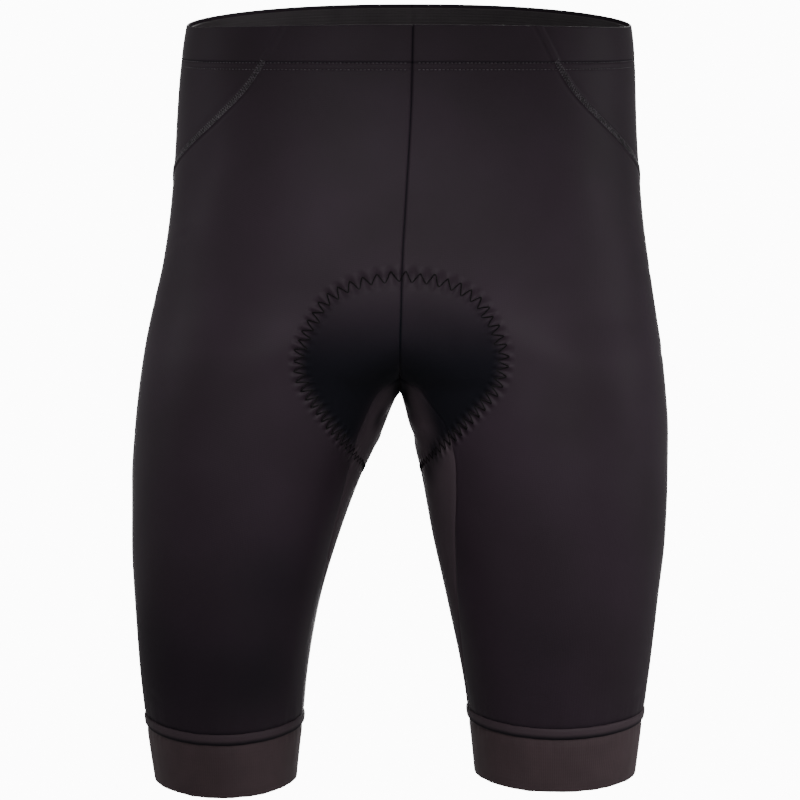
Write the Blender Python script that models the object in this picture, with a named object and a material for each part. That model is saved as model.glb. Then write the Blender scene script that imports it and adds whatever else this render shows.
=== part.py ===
"""Knee-length cycling shorts, filled out as when they are worn, with nobody in them.

Every panel is a thin wall cut out of one smooth form: a hip that forks into two legs.
Sizes are in millimetres and are turned into metres where a mesh is made.
X runs to the wearer's left, Y to the back and Z up. The origin is the middle of the
waist opening, level with the waist edge at the two sides.
A place on the form is (side, turn, level). Side is -1 for the wearer's right leg and 1
for the left. Turn is the angle round that leg, in degrees: 0 at the inner side, 90 at the
front, 180 at the outer side and 270 or -90 at the back. Level is the height of the ring
at its side.
"""

from collections import namedtuple

import bpy
import numpy as np

# Cloth, elastic and foam, in mm
CLOTH = 1.4
GRIPPER_CLOTH = 1.8
ELASTIC = 1.5
PAD_EDGE_THICK = 2.2
PAD_CORE_THICK = 8.0
PAD_TAPER = 26.0
PAD_SWELL = 1.8
PAD_SWELL_REACH = 24.0
SEAM_GAP = 0.3
ELASTIC_GAP = 0.3
PAD_GAP = 1.0

# Heights, in mm from the waist edge at the sides
CROTCH = -256.0
INNER_TOP = -246.5
PANEL_END = -481.0
ROLL_HEIGHT = 6.5
HEM = -526.0
ELASTIC_TOP = -3.0
ELASTIC_END = -25.5
LEFT_LEG_RISE = 4.0

# The rolled seam over the gripper, in mm
ROLL_PROUD = 0.7
ROLL_WALL = 2.2

RIGHT, LEFT = -1, 1
SIDE_NAMES = {RIGHT: "right", LEFT: "left"}
FULL_TURN = 360.0

# The outline from the front: how far each outer side and the centre seam lie from x = 0
Outline = namedtuple("Outline", "level right left centre")
OUTLINE = [
    Outline(0, 155.4, 155.4, 2.4),
    Outline(-25, 158.9, 157.5, 2.0),
    Outline(-60, 161.4, 158.6, 1.0),
    Outline(-95, 163.8, 160.3, -0.6),
    Outline(-130, 166.8, 162.8, -2.4),
    Outline(-165, 171.8, 167.3, -4.4),
    Outline(-200, 179.0, 172.4, -5.5),
    Outline(-228, 184.5, 176.6, -6.2),
    Outline(CROTCH, 188.7, 179.2, -6.3),
    Outline(-284, 191.6, 180.6, -6.3),
    Outline(-319, 193.7, 180.6, -6.3),
    Outline(-361, 193.5, 179.0, -6.3),
    Outline(-403, 191.6, 174.3, -6.3),
    Outline(-445, 188.3, 168.7, -6.3),
    Outline(-487, 183.4, 163.4, -6.3),
    Outline(HEM, 177.8, 158.4, -6.3),
]

# The outline from the side: front and back depth, and how square each ring is on its
# outer half and on its inner half, from 2 for an ellipse upwards
Depth = namedtuple("Depth", "level front back square inner_square")
DEPTH = [
    Depth(0, 99, 103, 2.35, 2.35),
    Depth(-60, 102, 110, 2.35, 2.40),
    Depth(-120, 104, 120, 2.35, 2.60),
    Depth(-170, 103, 124, 2.35, 3.40),
    Depth(-215, 99, 119, 2.30, 4.60),
    Depth(-236, 97, 112, 2.30, 3.80),
    Depth(CROTCH, 95, 104, 2.30, 2.50),
    Depth(-284, 93, 95, 2.25, 2.30),
    Depth(-330, 89, 85, 2.20, 2.15),
    Depth(-390, 81, 75, 2.10, 2.10),
    Depth(-440, 71, 67, 2.10, 2.05),
    Depth(-487, 61, 60, 2.05, 2.05),
    Depth(HEM, 56, 57, 2.05, 2.05),
]

# The fork: where each leg's inner side lies, as a share of the way out to its outer side.
# It is -1 where the two halves are one hip, 0 at the crotch, and the gap below it
Fork = namedtuple("Fork", "level right left")
FORK = [
    Fork(0, -1.0, -1.0),
    Fork(-165, -1.0, -1.0),
    Fork(-185, -0.93, -0.93),
    Fork(-205, -0.70, -0.70),
    Fork(-220, -0.40, -0.40),
    Fork(-234, -0.155, -0.155),
    Fork(-246, -0.048, -0.048),
    Fork(CROTCH, 0.0, 0.0),
    Fork(-263, 0.022, 0.012),
    Fork(-284, 0.0685, 0.041),
    Fork(-319, 0.153, 0.0824),
    Fork(-361, 0.235, 0.128),
    Fork(-403, 0.302, 0.182),
    Fork(-445, 0.350, 0.236),
    Fork(-487, 0.383, 0.281),
    Fork(HEM, 0.420, 0.315),
]

# How each ring tips: the front is lowered by tip less bow, and the back raised by their sum
Pitch = namedtuple("Pitch", "level tip bow")
PITCH = [
    Pitch(0, 18.5, 7.5),
    Pitch(-28, 17.0, 3.5),
    Pitch(-80, 7.0, 1.0),
    Pitch(-135, 0.0, 0.0),
    Pitch(-360, 0.0, 0.0),
    Pitch(-440, 5.0, -1.5),
    Pitch(-487, 8.0, -3.5),
    Pitch(HEM, 6.8, -2.7),
]

# The side seam, as turns: it runs from the front of the waist round to the back of the leg
Seam = namedtuple("Seam", "level turn")
SIDE_SEAM = [
    Seam(0, 122.0),
    Seam(-26, 127.5),
    Seam(-42, 131.5),
    Seam(-56, 136.5),
    Seam(-70, 143.0),
    Seam(-84, 152.0),
    Seam(-95, 162.0),
    Seam(-107, 178.0),
    Seam(-126, 196.0),
    Seam(-152, 209.0),
    Seam(-192, 219.0),
    Seam(-245, 225.0),
    Seam(-330, 228.0),
    Seam(PANEL_END, 226.0),
]

# The two edges of the inner panel, as turns to either side of the leg's inner side
Inner = namedtuple("Inner", "level front_right front_left back")
INNER_SEAMS = [
    Inner(-262, 37.5, 39.0, 38.0),
    Inner(-284, 37.5, 46.5, 40.0),
    Inner(-300, 33.0, 46.5, 41.0),
    Inner(-322, 27.5, 43.5, 41.5),
    Inner(-360, 20.5, 35.5, 41.0),
    Inner(-385, 14.0, 30.0, 40.0),
    Inner(-403, 8.0, 26.0, 39.0),
    Inner(-438, -2.0, 17.5, 37.0),
    Inner(PANEL_END, -8.0, 11.0, 35.0),
]

# The seat pad: for each place along the centre line of the crotch, in mm from its lowest
# point with the back positive, where the pad's sewn edge lies on the leg's form
Pad = namedtuple("Pad", "walk turn level")
PAD_EDGE = [
    Pad(-150, 95.5, -182.5),
    Pad(-138, 100.5, -188.5),
    Pad(-124, 102.5, -198.0),
    Pad(-108, 99.5, -211.0),
    Pad(-92, 91, -226.0),
    Pad(-78, 83, -238.0),
    Pad(-64, 75, -252.0),
    Pad(-48, 63, -270.0),
    Pad(-32, 47, -289.0),
    Pad(-16, 25, -304.0),
    Pad(0, 0, -311.0),
    Pad(18, -26, -306.0),
    Pad(38, -48, -291.0),
    Pad(60, -68, -270.0),
    Pad(84, -88, -246.0),
    Pad(108, -100, -222.0),
    Pad(132, -110, -198.0),
    Pad(156, -113, -174.0),
    Pad(176, -110, -155.0),
    Pad(190, -102, -143.0),
]

# How finely the form is cut up
FRONT_COLUMNS = 17
BACK_COLUMNS = 15
CROWDING = 1.4
INNER_COLUMNS = 9
RING_STEPS = 36
PAD_ROWS = 30
PAD_COLUMNS = 8
PAD_END_STEPS = 14
PANEL_LEVELS = np.array([
    0, -13, -26, -42, -56, -70, -84, -95, -107, -126, -150, -172, -190, -205, -218, -229,
    -238, INNER_TOP, -255, -268, -284, -303, -326, -352, -380, -408, -435, -459, PANEL_END,
])  # fmt: skip

Finish = namedtuple("Finish", "colour roughness")
FINISHES = {
    "shell_knit": Finish((0.026, 0.021, 0.025), 0.55),
    "gripper_knit": Finish((0.034, 0.024, 0.025), 0.65),
    "waist_elastic": Finish((0.018, 0.017, 0.018), 0.75),
    "pad_fleece": Finish((0.045, 0.043, 0.047), 0.90),
}


def column(rows, name):
    """One named column of a table, as an array."""
    return np.array([getattr(row, name) for row in rows], float)


def through(rows, name, at, key="level"):
    """A table's column at any place: a smooth curve through its rows that never overshoots."""
    x, y = column(rows, key), column(rows, name)
    if x[0] > x[-1]:
        x, y = x[::-1], y[::-1]
    step = np.diff(x)
    slope = np.diff(y) / step
    before, after = slope[:-1], slope[1:]
    same = before * after > 0
    total = np.where(same, before + after, 1.0)
    tangent = np.concatenate([slope[:1], np.where(same, 2 * before * after / total, 0), slope[-1:]])
    at = np.clip(np.asarray(at, float), x[0], x[-1])
    i = np.clip(np.searchsorted(x, at) - 1, 0, len(step) - 1)
    t = (at - x[i]) / step[i]
    values = y[i] * (1 + 2 * t) * (1 - t) ** 2 + y[i + 1] * t**2 * (3 - 2 * t)
    return values + step[i] * t * (1 - t) * (tangent[i] * (1 - t) - tangent[i + 1] * t)


def raised(side, level):
    """How far the left leg's lower end is drawn up beyond the right's."""
    share = np.clip((CROTCH - level) / (CROTCH - PANEL_END), 0, 1)
    return LEFT_LEG_RISE * share * share if side == LEFT else 0.0 * share


def body_point(side, turn, level):
    """The outer face of the cloth, in mm, before the pad swells it.

    Each ring is a superellipse drawn by its direction. Its middle and its half width follow
    from the outer side and from the fork.
    """
    turn, level = np.broadcast_arrays(np.asarray(turn, float), np.asarray(level, float))
    name = SIDE_NAMES[side]
    centre = through(OUTLINE, "centre", level)
    wide = through(OUTLINE, name, level) - side * centre
    share = through(FORK, name, level)
    half, middle = wide * (1 - share) / 2, wide * (1 + share) / 2
    c, s = np.cos(np.radians(turn)), np.sin(np.radians(turn))
    square, inner = through(DEPTH, "square", level), through(DEPTH, "inner_square", level)
    power = np.where(c > 0, inner, square)
    ring = (np.abs(c) ** power + np.abs(s) ** power) ** (1 / power)
    across, along = c / ring, s / ring
    depth = np.where(s >= 0, through(DEPTH, "front", level), through(DEPTH, "back", level))
    tip, bow = through(PITCH, "tip", level), through(PITCH, "bow", level)
    z = level - tip * along + bow * along**2 + raised(side, level)
    return np.stack([centre + side * (middle - half * across), -depth * along, z], -1)


def body_normal(side, turn, level):
    """The outward unit normal, from small steps round the ring and up the form."""
    turn, level = np.broadcast_arrays(np.asarray(turn, float), np.asarray(level, float))
    round_ring = body_point(side, turn + 0.5, level) - body_point(side, turn - 0.5, level)
    up = body_point(side, turn, level + 0.5) - body_point(side, turn, level - 0.5)
    normal = side * np.cross(round_ring, up)
    return normal / np.linalg.norm(normal, axis=-1, keepdims=True)


def centre_turn(level):
    """The turn at which a ring above the crotch meets the centre line at the front."""
    level = np.maximum(np.asarray(level, float), CROTCH)
    share = through(FORK, "right", level)
    power = through(DEPTH, "inner_square", level)
    across = np.clip((1 + share) / (1 - share), 0, 1)
    return np.degrees(np.arctan2((1 - across**power) ** (1 / power), across))


def centre_curve():
    """Turn, level and walk along the centre line, from the front waist under to the back."""
    rise = np.linspace(0, 1, 241) ** 2.5 * -CROTCH
    level = np.concatenate([CROTCH + rise[::-1], CROTCH + rise[1:]])
    turn = np.concatenate([centre_turn(CROTCH + rise[::-1]), -centre_turn(CROTCH + rise[1:])])
    points = body_point(LEFT, turn, level)
    walk = np.concatenate([[0], np.cumsum(np.linalg.norm(np.diff(points, axis=0), axis=1))])
    return turn, level, walk - walk[len(rise) - 1]


def pad_edge(walk):
    """The pad's sewn edge beside a place on the centre line: its turn and its level."""
    return through(PAD_EDGE, "turn", walk, "walk"), through(PAD_EDGE, "level", walk, "walk")


def whole_pad_edge(walk):
    """The pad's edge on one side, with the ends that cross to the centre line."""
    curve_turn, curve_level, curve_walk = centre_curve()
    turns, levels = pad_edge(walk)
    ends = []
    for at, edge_turn, edge_level in ((walk[0], turns[0], levels[0]), (walk[-1], turns[-1], levels[-1])):
        centre = np.interp(at, curve_walk, curve_turn), np.interp(at, curve_walk, curve_level)
        share = np.linspace(0, 1, PAD_END_STEPS)[:-1]
        ends.append([start + (end - start) * share for start, end in zip(centre, (edge_turn, edge_level))])
    turn = np.concatenate([ends[0][0], turns, ends[1][0][::-1]])
    level = np.concatenate([ends[0][1], levels, ends[1][1][::-1]])
    return turn, level


def inside(turn, level, edge_turn, edge_level):
    """Whether places lie within a closed outline, by counting the edges they pass."""
    crossings = np.zeros(turn.shape, int)
    for a, b, c, d in zip(edge_turn, edge_level, np.roll(edge_turn, -1), np.roll(edge_level, -1)):
        if b != d:
            between = (b > level) != (d > level)
            crossings += between & (turn < a + (level - b) * (c - a) / (d - b))
    return crossings % 2 == 1


def pad_share(side, turn, level, wide):
    """0 at the pad's edge and outside it, rising evenly to 1 at this distance within."""
    turn = np.where(turn > FULL_TURN / 2, turn - FULL_TURN, turn)
    edge_turn, edge_level = whole_pad_edge(np.linspace(PAD_EDGE[0].walk, PAD_EDGE[-1].walk, 150))
    edge = body_point(side, edge_turn, edge_level)
    gap = np.linalg.norm(body_point(side, turn, level)[..., None, :] - edge, axis=-1).min(-1)
    return np.clip(gap / wide, 0, 1) * inside(turn, level, edge_turn, edge_level)


def cloth_point(side, turn, level):
    """The outer face of the cloth, in mm, swelled by the pad but not between the thighs."""
    turn, level = np.broadcast_arrays(np.asarray(turn, float), np.asarray(level, float))
    normal = body_normal(side, turn, level)
    share = pad_share(side, turn, level, PAD_SWELL_REACH)
    swell = PAD_SWELL * share * (2 - share) * (1 - normal[..., 0] ** 2)
    return body_point(side, turn, level) + normal * swell[..., None]


def inward(side, turn, level, on_centre):
    """The step to a face 1 mm further in. On the centre line it keeps to that line's plane
    and is longer, so that the faces of both sides still meet."""
    normal = body_normal(side, turn, level)
    flat = normal * np.array([0, 1, 1])
    length = np.linalg.norm(flat, axis=-1, keepdims=True)
    mitred = flat / np.maximum(length, 1e-6) / np.maximum(length, 0.45)
    return -np.where(np.asarray(on_centre)[..., None], mitred, normal)


def front_seam(side, level):
    """The turn at which the front panel starts: on the centre seam, then on the inner seam."""
    ease = np.clip((INNER_TOP - level) / (INNER_TOP - INNER_SEAMS[0].level), 0, 1)
    top = centre_turn(INNER_TOP)
    low = through(INNER_SEAMS, "front_" + SIDE_NAMES[side], level)
    return np.where(level >= INNER_TOP, centre_turn(level), top + (low - top) * ease)


def back_seam(level):
    """The turn at which the back panel ends, counted back from the leg's inner side."""
    ease = np.clip((INNER_TOP - level) / (INNER_TOP - INNER_SEAMS[0].level), 0, 1)
    top = centre_turn(INNER_TOP)
    low = through(INNER_SEAMS, "back", level)
    return np.where(level >= INNER_TOP, centre_turn(level), top + (low - top) * ease)


def side_seam(level):
    """The turn of the side seam."""
    return through(SIDE_SEAM, "turn", level)


def spread(side, start, end, level, columns, crowding=1.0):
    """Turns from start to end on one ring, even along the cloth or crowded to the start."""
    fine = np.linspace(start, end, 200)
    points = body_point(side, fine, level)
    walk = np.concatenate([[0], np.cumsum(np.linalg.norm(np.diff(points, axis=0), axis=1))])
    return np.interp(np.linspace(0, 1, columns) ** crowding * walk[-1], walk, fine)


def front_turns(side, level):
    """Turns across the front panel at one level, from its centre or inner seam outwards."""
    return spread(side, front_seam(side, level), side_seam(level), level, FRONT_COLUMNS, CROWDING)


def back_turns(side, level):
    """Turns across the back panel at one level, from the side seam to the centre back."""
    end = FULL_TURN - back_seam(level)
    return spread(side, end, side_seam(level), level, BACK_COLUMNS, CROWDING)[::-1]


def boundary(rows, columns):
    """The grid places round the edge of a grid, in order."""
    top = [(0, j) for j in range(columns - 1)]
    end = [(i, columns - 1) for i in range(rows - 1)]
    bottom = [(rows - 1, j) for j in range(columns - 1, 0, -1)]
    start = [(i, 0) for i in range(rows - 1, 0, -1)]
    return top + end + bottom + start


def draw_in(grid):
    """Moves the edge of a panel half a seam gap into the panel, square to its seams."""
    rows, columns = grid.shape[:2]
    loop = boundary(rows, columns)
    edge = np.array([grid[place] for place in loop])
    within = np.array([
        grid[min(max(i, 1), rows - 2), min(max(j, 1), columns - 2)] for i, j in loop
    ])  # fmt: skip
    along = np.roll(edge, -1, 0) - edge
    along /= np.linalg.norm(along, axis=1, keepdims=True)
    square = (within + np.roll(within, -1, 0) - edge - np.roll(edge, -1, 0)) / 2
    square -= (square * along).sum(1, keepdims=True) * along
    square /= np.linalg.norm(square, axis=1, keepdims=True)
    before = np.roll(square, 1, 0)
    meeting = np.maximum(1 + (square * before).sum(1, keepdims=True), 0.25)
    moved = edge + (square + before) / meeting * SEAM_GAP / 2
    drawn = grid.copy()
    for place, point in zip(loop, moved):
        drawn[place] = point
    return drawn


def keep_clear(side, grid, level):
    """Holds every point of a panel half a seam gap or more from the centre line's plane."""
    centre = through(OUTLINE, "centre", level)
    out = np.maximum(side * (grid[..., 0] - centre), SEAM_GAP / 2)
    return np.concatenate([(centre + side * out)[..., None], grid[..., 1:]], -1)


def halves(points, grid, i, j, right, below):
    """The two triangles of one grid cell, cut along its shorter diagonal."""
    a, b, c, d = grid[i, j], grid[i, right], grid[below, right], grid[below, j]
    if np.linalg.norm(points[a] - points[c]) <= np.linalg.norm(points[b] - points[d]):
        return [(a, b, c), (a, c, d)]
    return [(a, b, d), (b, c, d)]


def wall(name, finish, outer, inner):
    """One node from an outer grid of points and an inner one, closed round their edges."""
    rows, columns = outer.shape[:2]
    count = rows * columns
    points = np.concatenate([outer.reshape(-1, 3), inner.reshape(-1, 3)])
    grid = np.arange(count).reshape(rows, columns)
    triangles = []
    for i in range(rows - 1):
        for j in range(columns - 1):
            for a, b, c in halves(points, grid, i, j, j + 1, i + 1):
                triangles += [(a, b, c), (c + count, b + count, a + count)]
    loop = [grid[place] for place in boundary(rows, columns)]
    for a, b in zip(loop, loop[1:] + loop[:1]):
        triangles += [(b, a, a + count), (b, a + count, b + count)]
    add_node(name, finish, points, triangles)


def ring(name, finish, loops):
    """One node from equal loops of points that close round in both directions."""
    rows, columns = loops.shape[:2]
    points = loops.reshape(-1, 3)
    grid = np.arange(rows * columns).reshape(rows, columns)
    triangles = []
    for i in range(rows):
        for j in range(columns):
            triangles += halves(points, grid, i, j, (j + 1) % columns, (i + 1) % rows)
    add_node(name, finish, points, triangles)


def volume(points, triangles):
    """The signed volume that a closed mesh holds, in cubic mm."""
    a, b, c = (points[np.array(triangles)[:, k]] for k in range(3))
    return (a * np.cross(b, c)).sum() / 6


def add_node(name, finish, points, triangles):
    """Puts one named solid in the scene, with its faces looking outwards."""
    if volume(points, triangles) < 0:
        triangles = [triangle[::-1] for triangle in triangles]
    mesh = bpy.data.meshes.new(name)
    mesh.from_pydata((points / 1000).tolist(), [], np.array(triangles).tolist())
    mesh.shade_smooth()
    mesh.set_sharp_from_angle(angle=np.radians(50))
    mesh.materials.append(finish)
    node = bpy.data.objects.new(name, mesh)
    bpy.context.scene.collection.objects.link(node)
    print(f"{name}: {len(triangles)} triangles, {volume(points, triangles) / 1000:.1f} cm3")


def panel(name, finish, side, turn, level, on_centre):
    """One panel: the wall between the cloth's outer face and its inner face."""
    outer = cloth_point(side, turn, level)
    inner = outer + inward(side, turn, level, on_centre) * CLOTH
    outer, inner = (keep_clear(side, draw_in(grid), level) for grid in (outer, inner))
    wall(name, finish, outer, inner)


def front_and_back(side, finish):
    """The front panel and the back panel of one side, which meet at the side seam."""
    level = PANEL_LEVELS
    joined = level >= INNER_TOP
    front = np.array([front_turns(side, at) for at in level])
    back = np.array([back_turns(side, at) for at in level])
    on_centre = np.zeros(front.shape, bool)
    on_centre[joined, 0] = True
    levels = np.repeat(level[:, None], FRONT_COLUMNS, 1)
    panel("front_" + SIDE_NAMES[side], finish, side, front, levels, on_centre)
    on_centre = np.zeros(back.shape, bool)
    on_centre[joined, -1] = True
    levels = np.repeat(level[:, None], BACK_COLUMNS, 1)
    panel("back_" + SIDE_NAMES[side], finish, side, back, levels, on_centre)


def inner_panel(side, finish):
    """The inner panel of one leg. Its top edge is the seam under the crotch."""
    curve_turn, curve_level, walk = centre_curve()
    start = np.interp(INNER_TOP, curve_level[240:], walk[240:])
    end = np.interp(INNER_TOP, curve_level[240::-1], walk[240::-1])
    top_walk = np.linspace(start, end, INNER_COLUMNS)
    top_level = np.interp(top_walk, walk, curve_level)
    top_turn = np.interp(top_walk, walk, curve_turn)
    level = PANEL_LEVELS[PANEL_LEVELS <= INNER_TOP]
    joins = 5
    share = (level - INNER_TOP) / (level[joins] - INNER_TOP)
    levels = top_level + (level[joins] - top_level) * share[:, None]
    levels[joins:] = level[joins:, None]
    blend = np.linspace(0, 1, INNER_COLUMNS)
    edges = front_seam(side, levels), back_seam(levels)
    even = -edges[1] * (1 - blend) + edges[0] * blend
    ease = np.clip(1 - share, 0, 1)[:, None] ** 2
    turn = even + (top_turn - even[0]) * ease
    turn[:, 0], turn[:, -1] = -edges[1][:, 0], edges[0][:, -1]
    on_centre = np.zeros(turn.shape, bool)
    on_centre[0] = True
    panel("inner_" + SIDE_NAMES[side], finish, side, turn, levels, on_centre)


def leg_ring(name, finish, side, section):
    """A ring round one leg. Its section is a closed loop of (level, mm out from the form)."""
    loops = []
    for level, out in section:
        turn = spread(side, 0, FULL_TURN, level, RING_STEPS + 1)[:-1]
        loops.append(body_point(side, turn, level) + out * body_normal(side, turn, level))
    ring(name, finish, np.array(loops))


def roll_and_gripper(side, roll_finish, gripper_finish):
    """The rolled seam at the end of the panels, and the elastic gripper under it."""
    top = PANEL_END - SEAM_GAP
    end = top - ROLL_HEIGHT
    crown = (top + end) / 2
    roll = [
        (top, 0.1), (top - 1.2, ROLL_PROUD * 0.8), (crown, ROLL_PROUD), (end + 1.2, ROLL_PROUD * 0.8),
        (end, 0.1), (end, ROLL_PROUD - ROLL_WALL - 0.6), (crown, ROLL_PROUD - ROLL_WALL - 0.9),
        (top, ROLL_PROUD - ROLL_WALL - 0.6),
    ]  # fmt: skip
    leg_ring("roll_" + SIDE_NAMES[side], roll_finish, side, roll)
    top = end - SEAM_GAP
    middle = (top + HEM) / 2
    gripper = [(top, 0), (middle, 0), (HEM, 0)]
    gripper += [(level, -GRIPPER_CLOTH) for level, _ in reversed(gripper)]
    leg_ring("gripper_" + SIDE_NAMES[side], gripper_finish, side, gripper)


def waist_ring(finish):
    """The elastic inside the waistband. Its points stand behind those of the panels."""
    outer = -CLOTH - ELASTIC_GAP
    levels = np.linspace(ELASTIC_TOP, ELASTIC_END, 3)
    section = [(level, outer) for level in levels]
    section += [(level, outer - ELASTIC) for level in reversed(levels)]
    loops = []
    for level, out in section:
        points = []
        for side in (LEFT, RIGHT):
            turn = np.concatenate([front_turns(side, level), back_turns(side, level)[1:]])
            half = cloth_point(side, turn, level) + out * body_normal(side, turn, level)
            points.append(half if side == LEFT else half[-2:0:-1])
        loops.append(np.concatenate(points))
    ring("waist_elastic", finish, np.array(loops))


def seat_pad(finish):
    """The moulded pad behind the front, crotch and seat: thick in the middle, thin at its edge."""
    curve_turn, curve_level, walk = centre_curve()
    walks = np.linspace(PAD_EDGE[0].walk, PAD_EDGE[-1].walk, PAD_ROWS)
    centre = np.interp(walks, walk, curve_turn)[:, None]
    centre_level = np.interp(walks, walk, curve_level)[:, None]
    edge_turn, edge_level = (values[:, None] for values in pad_edge(walks))
    share = np.linspace(0, 1, PAD_COLUMNS + 1)
    turn = centre + (edge_turn - centre) * share
    level = centre_level + (edge_level - centre_level) * share
    on_centre = np.zeros(turn.shape, bool)
    on_centre[:, 0] = True
    faces = {}
    for side in (LEFT, RIGHT):
        step = inward(side, turn, level, on_centre)
        rise = pad_share(side, turn, level, PAD_TAPER)
        thick = PAD_EDGE_THICK + (PAD_CORE_THICK - PAD_EDGE_THICK) * rise * rise * (3 - 2 * rise)
        outer = cloth_point(side, turn, level) + step * (CLOTH + PAD_GAP)
        faces[side] = outer, outer + step * thick[..., None]
    outer, inner = (
        np.concatenate([right[:, :0:-1], (left[:, :1] + right[:, :1]) / 2, left[:, 1:]], 1)
        for left, right in zip(faces[LEFT], faces[RIGHT])
    )
    wall("seat_pad", finish, outer, inner)


def make_finish(name):
    """A plain cloth finish."""
    finish = bpy.data.materials.new(name)
    finish.use_nodes = True
    shader = finish.node_tree.nodes["Principled BSDF"]
    shader.inputs["Base Color"].default_value = (*FINISHES[name].colour, 1)
    shader.inputs["Roughness"].default_value = FINISHES[name].roughness
    shader.inputs["Metallic"].default_value = 0.0
    return finish


def main():
    """Builds every piece of the shorts."""
    for item in list(bpy.data.objects):
        bpy.data.objects.remove(item)
    finishes = {name: make_finish(name) for name in FINISHES}
    for side in (RIGHT, LEFT):
        front_and_back(side, finishes["shell_knit"])
        inner_panel(side, finishes["shell_knit"])
        roll_and_gripper(side, finishes["shell_knit"], finishes["gripper_knit"])
    waist_ring(finishes["waist_elastic"])
    seat_pad(finishes["pad_fleece"])


main()
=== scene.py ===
"""Dressed scene of knee-length cycling shorts, filled out as when they are worn.

Lengths are in millimetres until a mesh is made. X runs to the wearer's left, Y to the back
and Z up, and the origin is the middle of the waist opening, level with its two sides.
A place on the cloth is (side, turn, level). Turn is the angle round a leg in degrees: 0 at
the inner side, 90 at the front, 180 at the outer side and -90 or 270 at the back. Level is
the height of the ring at its side. The solids of the frame use the same form.
"""

import logging
from dataclasses import dataclass, field
from enum import Enum

import bpy
import numpy as np
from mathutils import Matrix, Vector


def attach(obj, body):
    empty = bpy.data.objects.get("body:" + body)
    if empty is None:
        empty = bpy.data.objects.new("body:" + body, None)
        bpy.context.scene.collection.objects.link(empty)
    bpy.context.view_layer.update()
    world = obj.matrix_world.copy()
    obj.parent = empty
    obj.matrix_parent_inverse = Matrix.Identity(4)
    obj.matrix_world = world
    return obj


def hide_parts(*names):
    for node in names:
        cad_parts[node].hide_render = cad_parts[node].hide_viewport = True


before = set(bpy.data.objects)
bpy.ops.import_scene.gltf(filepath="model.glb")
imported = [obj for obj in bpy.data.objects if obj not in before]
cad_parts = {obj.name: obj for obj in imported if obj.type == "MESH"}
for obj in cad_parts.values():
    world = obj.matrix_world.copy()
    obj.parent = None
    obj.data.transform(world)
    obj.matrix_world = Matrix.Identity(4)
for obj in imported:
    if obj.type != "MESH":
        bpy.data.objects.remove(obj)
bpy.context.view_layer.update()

Array = np.ndarray
LOG = logging.getLogger("shorts")
METRES = 0.001
FULL_TURN = 360.0


class Side(Enum):
    """The wearer's right side, at negative X, and left side."""

    RIGHT = -1
    LEFT = 1

    @property
    def word(self) -> str:
        """The side's name, as the solids spell it."""
        return self.name.lower()


def smooth_step(low: float, high: float, value: Array) -> Array:
    """0 below low and 1 above high, with the cubic 3t^2 - 2t^3 between them."""
    share = np.clip((np.asarray(value, float) - low) / (high - low), 0, 1)
    return share * share * (3 - 2 * share)


def bell(gap: Array, width: float) -> Array:
    """1 at no distance, falling as exp(-(gap / width)^2)."""
    return np.exp(-((gap / width) ** 2))


def lengths(points: Array) -> Array:
    """The way walked to each point of a line, or of a stack of lines, from its first one."""
    steps = np.linalg.norm(np.diff(points, axis=-2), axis=-1)
    start = np.zeros(points.shape[:-2] + (1,))
    return np.concatenate([start, np.cumsum(steps, axis=-1)], -1)


def unit(vectors: Array) -> Array:
    """Vectors scaled to length 1."""
    return vectors / np.maximum(np.linalg.norm(vectors, axis=-1, keepdims=True), 1e-9)


@dataclass(frozen=True)
class Profile:
    """Named curves through a few measured rows. The first name is what they are read by."""

    names: tuple[str, ...]
    rows: tuple[tuple[float, ...], ...]

    def column(self, name: str) -> Array:
        """One named column."""
        return np.array([row[self.names.index(name)] for row in self.rows], float)

    def at(self, name: str, where: Array) -> Array:
        """A column's value at any place.

        Each span is the cubic that meets the rows with the harmonic mean of the slopes beside
        them, or level where they turn, so it never overshoots.

        Args:
            name: The column.
            where: Places along the first column.

        Returns:
            The values, in the shape of where.
        """
        x, y = self.column(self.names[0]), self.column(name)
        if x[0] > x[-1]:
            x, y = x[::-1], y[::-1]
        step = np.diff(x)
        slope = np.diff(y) / step
        before, after = slope[:-1], slope[1:]
        same = before * after > 0
        total = np.where(same, before + after, 1.0)
        middle = np.where(same, 2 * before * after / total, 0)
        tangent = np.concatenate([slope[:1], middle, slope[-1:]])
        where = np.clip(np.asarray(where, float), x[0], x[-1])
        i = np.clip(np.searchsorted(x, where) - 1, 0, len(step) - 1)
        t = (where - x[i]) / step[i]
        values = y[i] * (1 + 2 * t) * (1 - t) ** 2 + y[i + 1] * t**2 * (3 - 2 * t)
        return values + step[i] * t * (1 - t) * (tangent[i] * (1 - t) - tangent[i + 1] * t)


# How far each outer side and the centre seam lie from x = 0
OUTLINE = Profile(
    ("level", "right", "left", "centre"),
    (
        (0, 155.4, 155.4, 2.4),
        (-25, 158.9, 157.5, 2.0),
        (-60, 161.4, 158.6, 1.0),
        (-95, 163.8, 160.3, -0.6),
        (-130, 166.8, 162.8, -2.4),
        (-165, 171.8, 167.3, -4.4),
        (-200, 179.0, 172.4, -5.5),
        (-228, 184.5, 176.6, -6.2),
        (-256, 188.7, 179.2, -6.3),
        (-284, 191.6, 180.6, -6.3),
        (-319, 193.7, 180.6, -6.3),
        (-361, 193.5, 179.0, -6.3),
        (-403, 191.6, 174.3, -6.3),
        (-445, 188.3, 168.7, -6.3),
        (-487, 183.4, 163.4, -6.3),
        (-526, 177.8, 158.4, -6.3),
    ),
)

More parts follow.
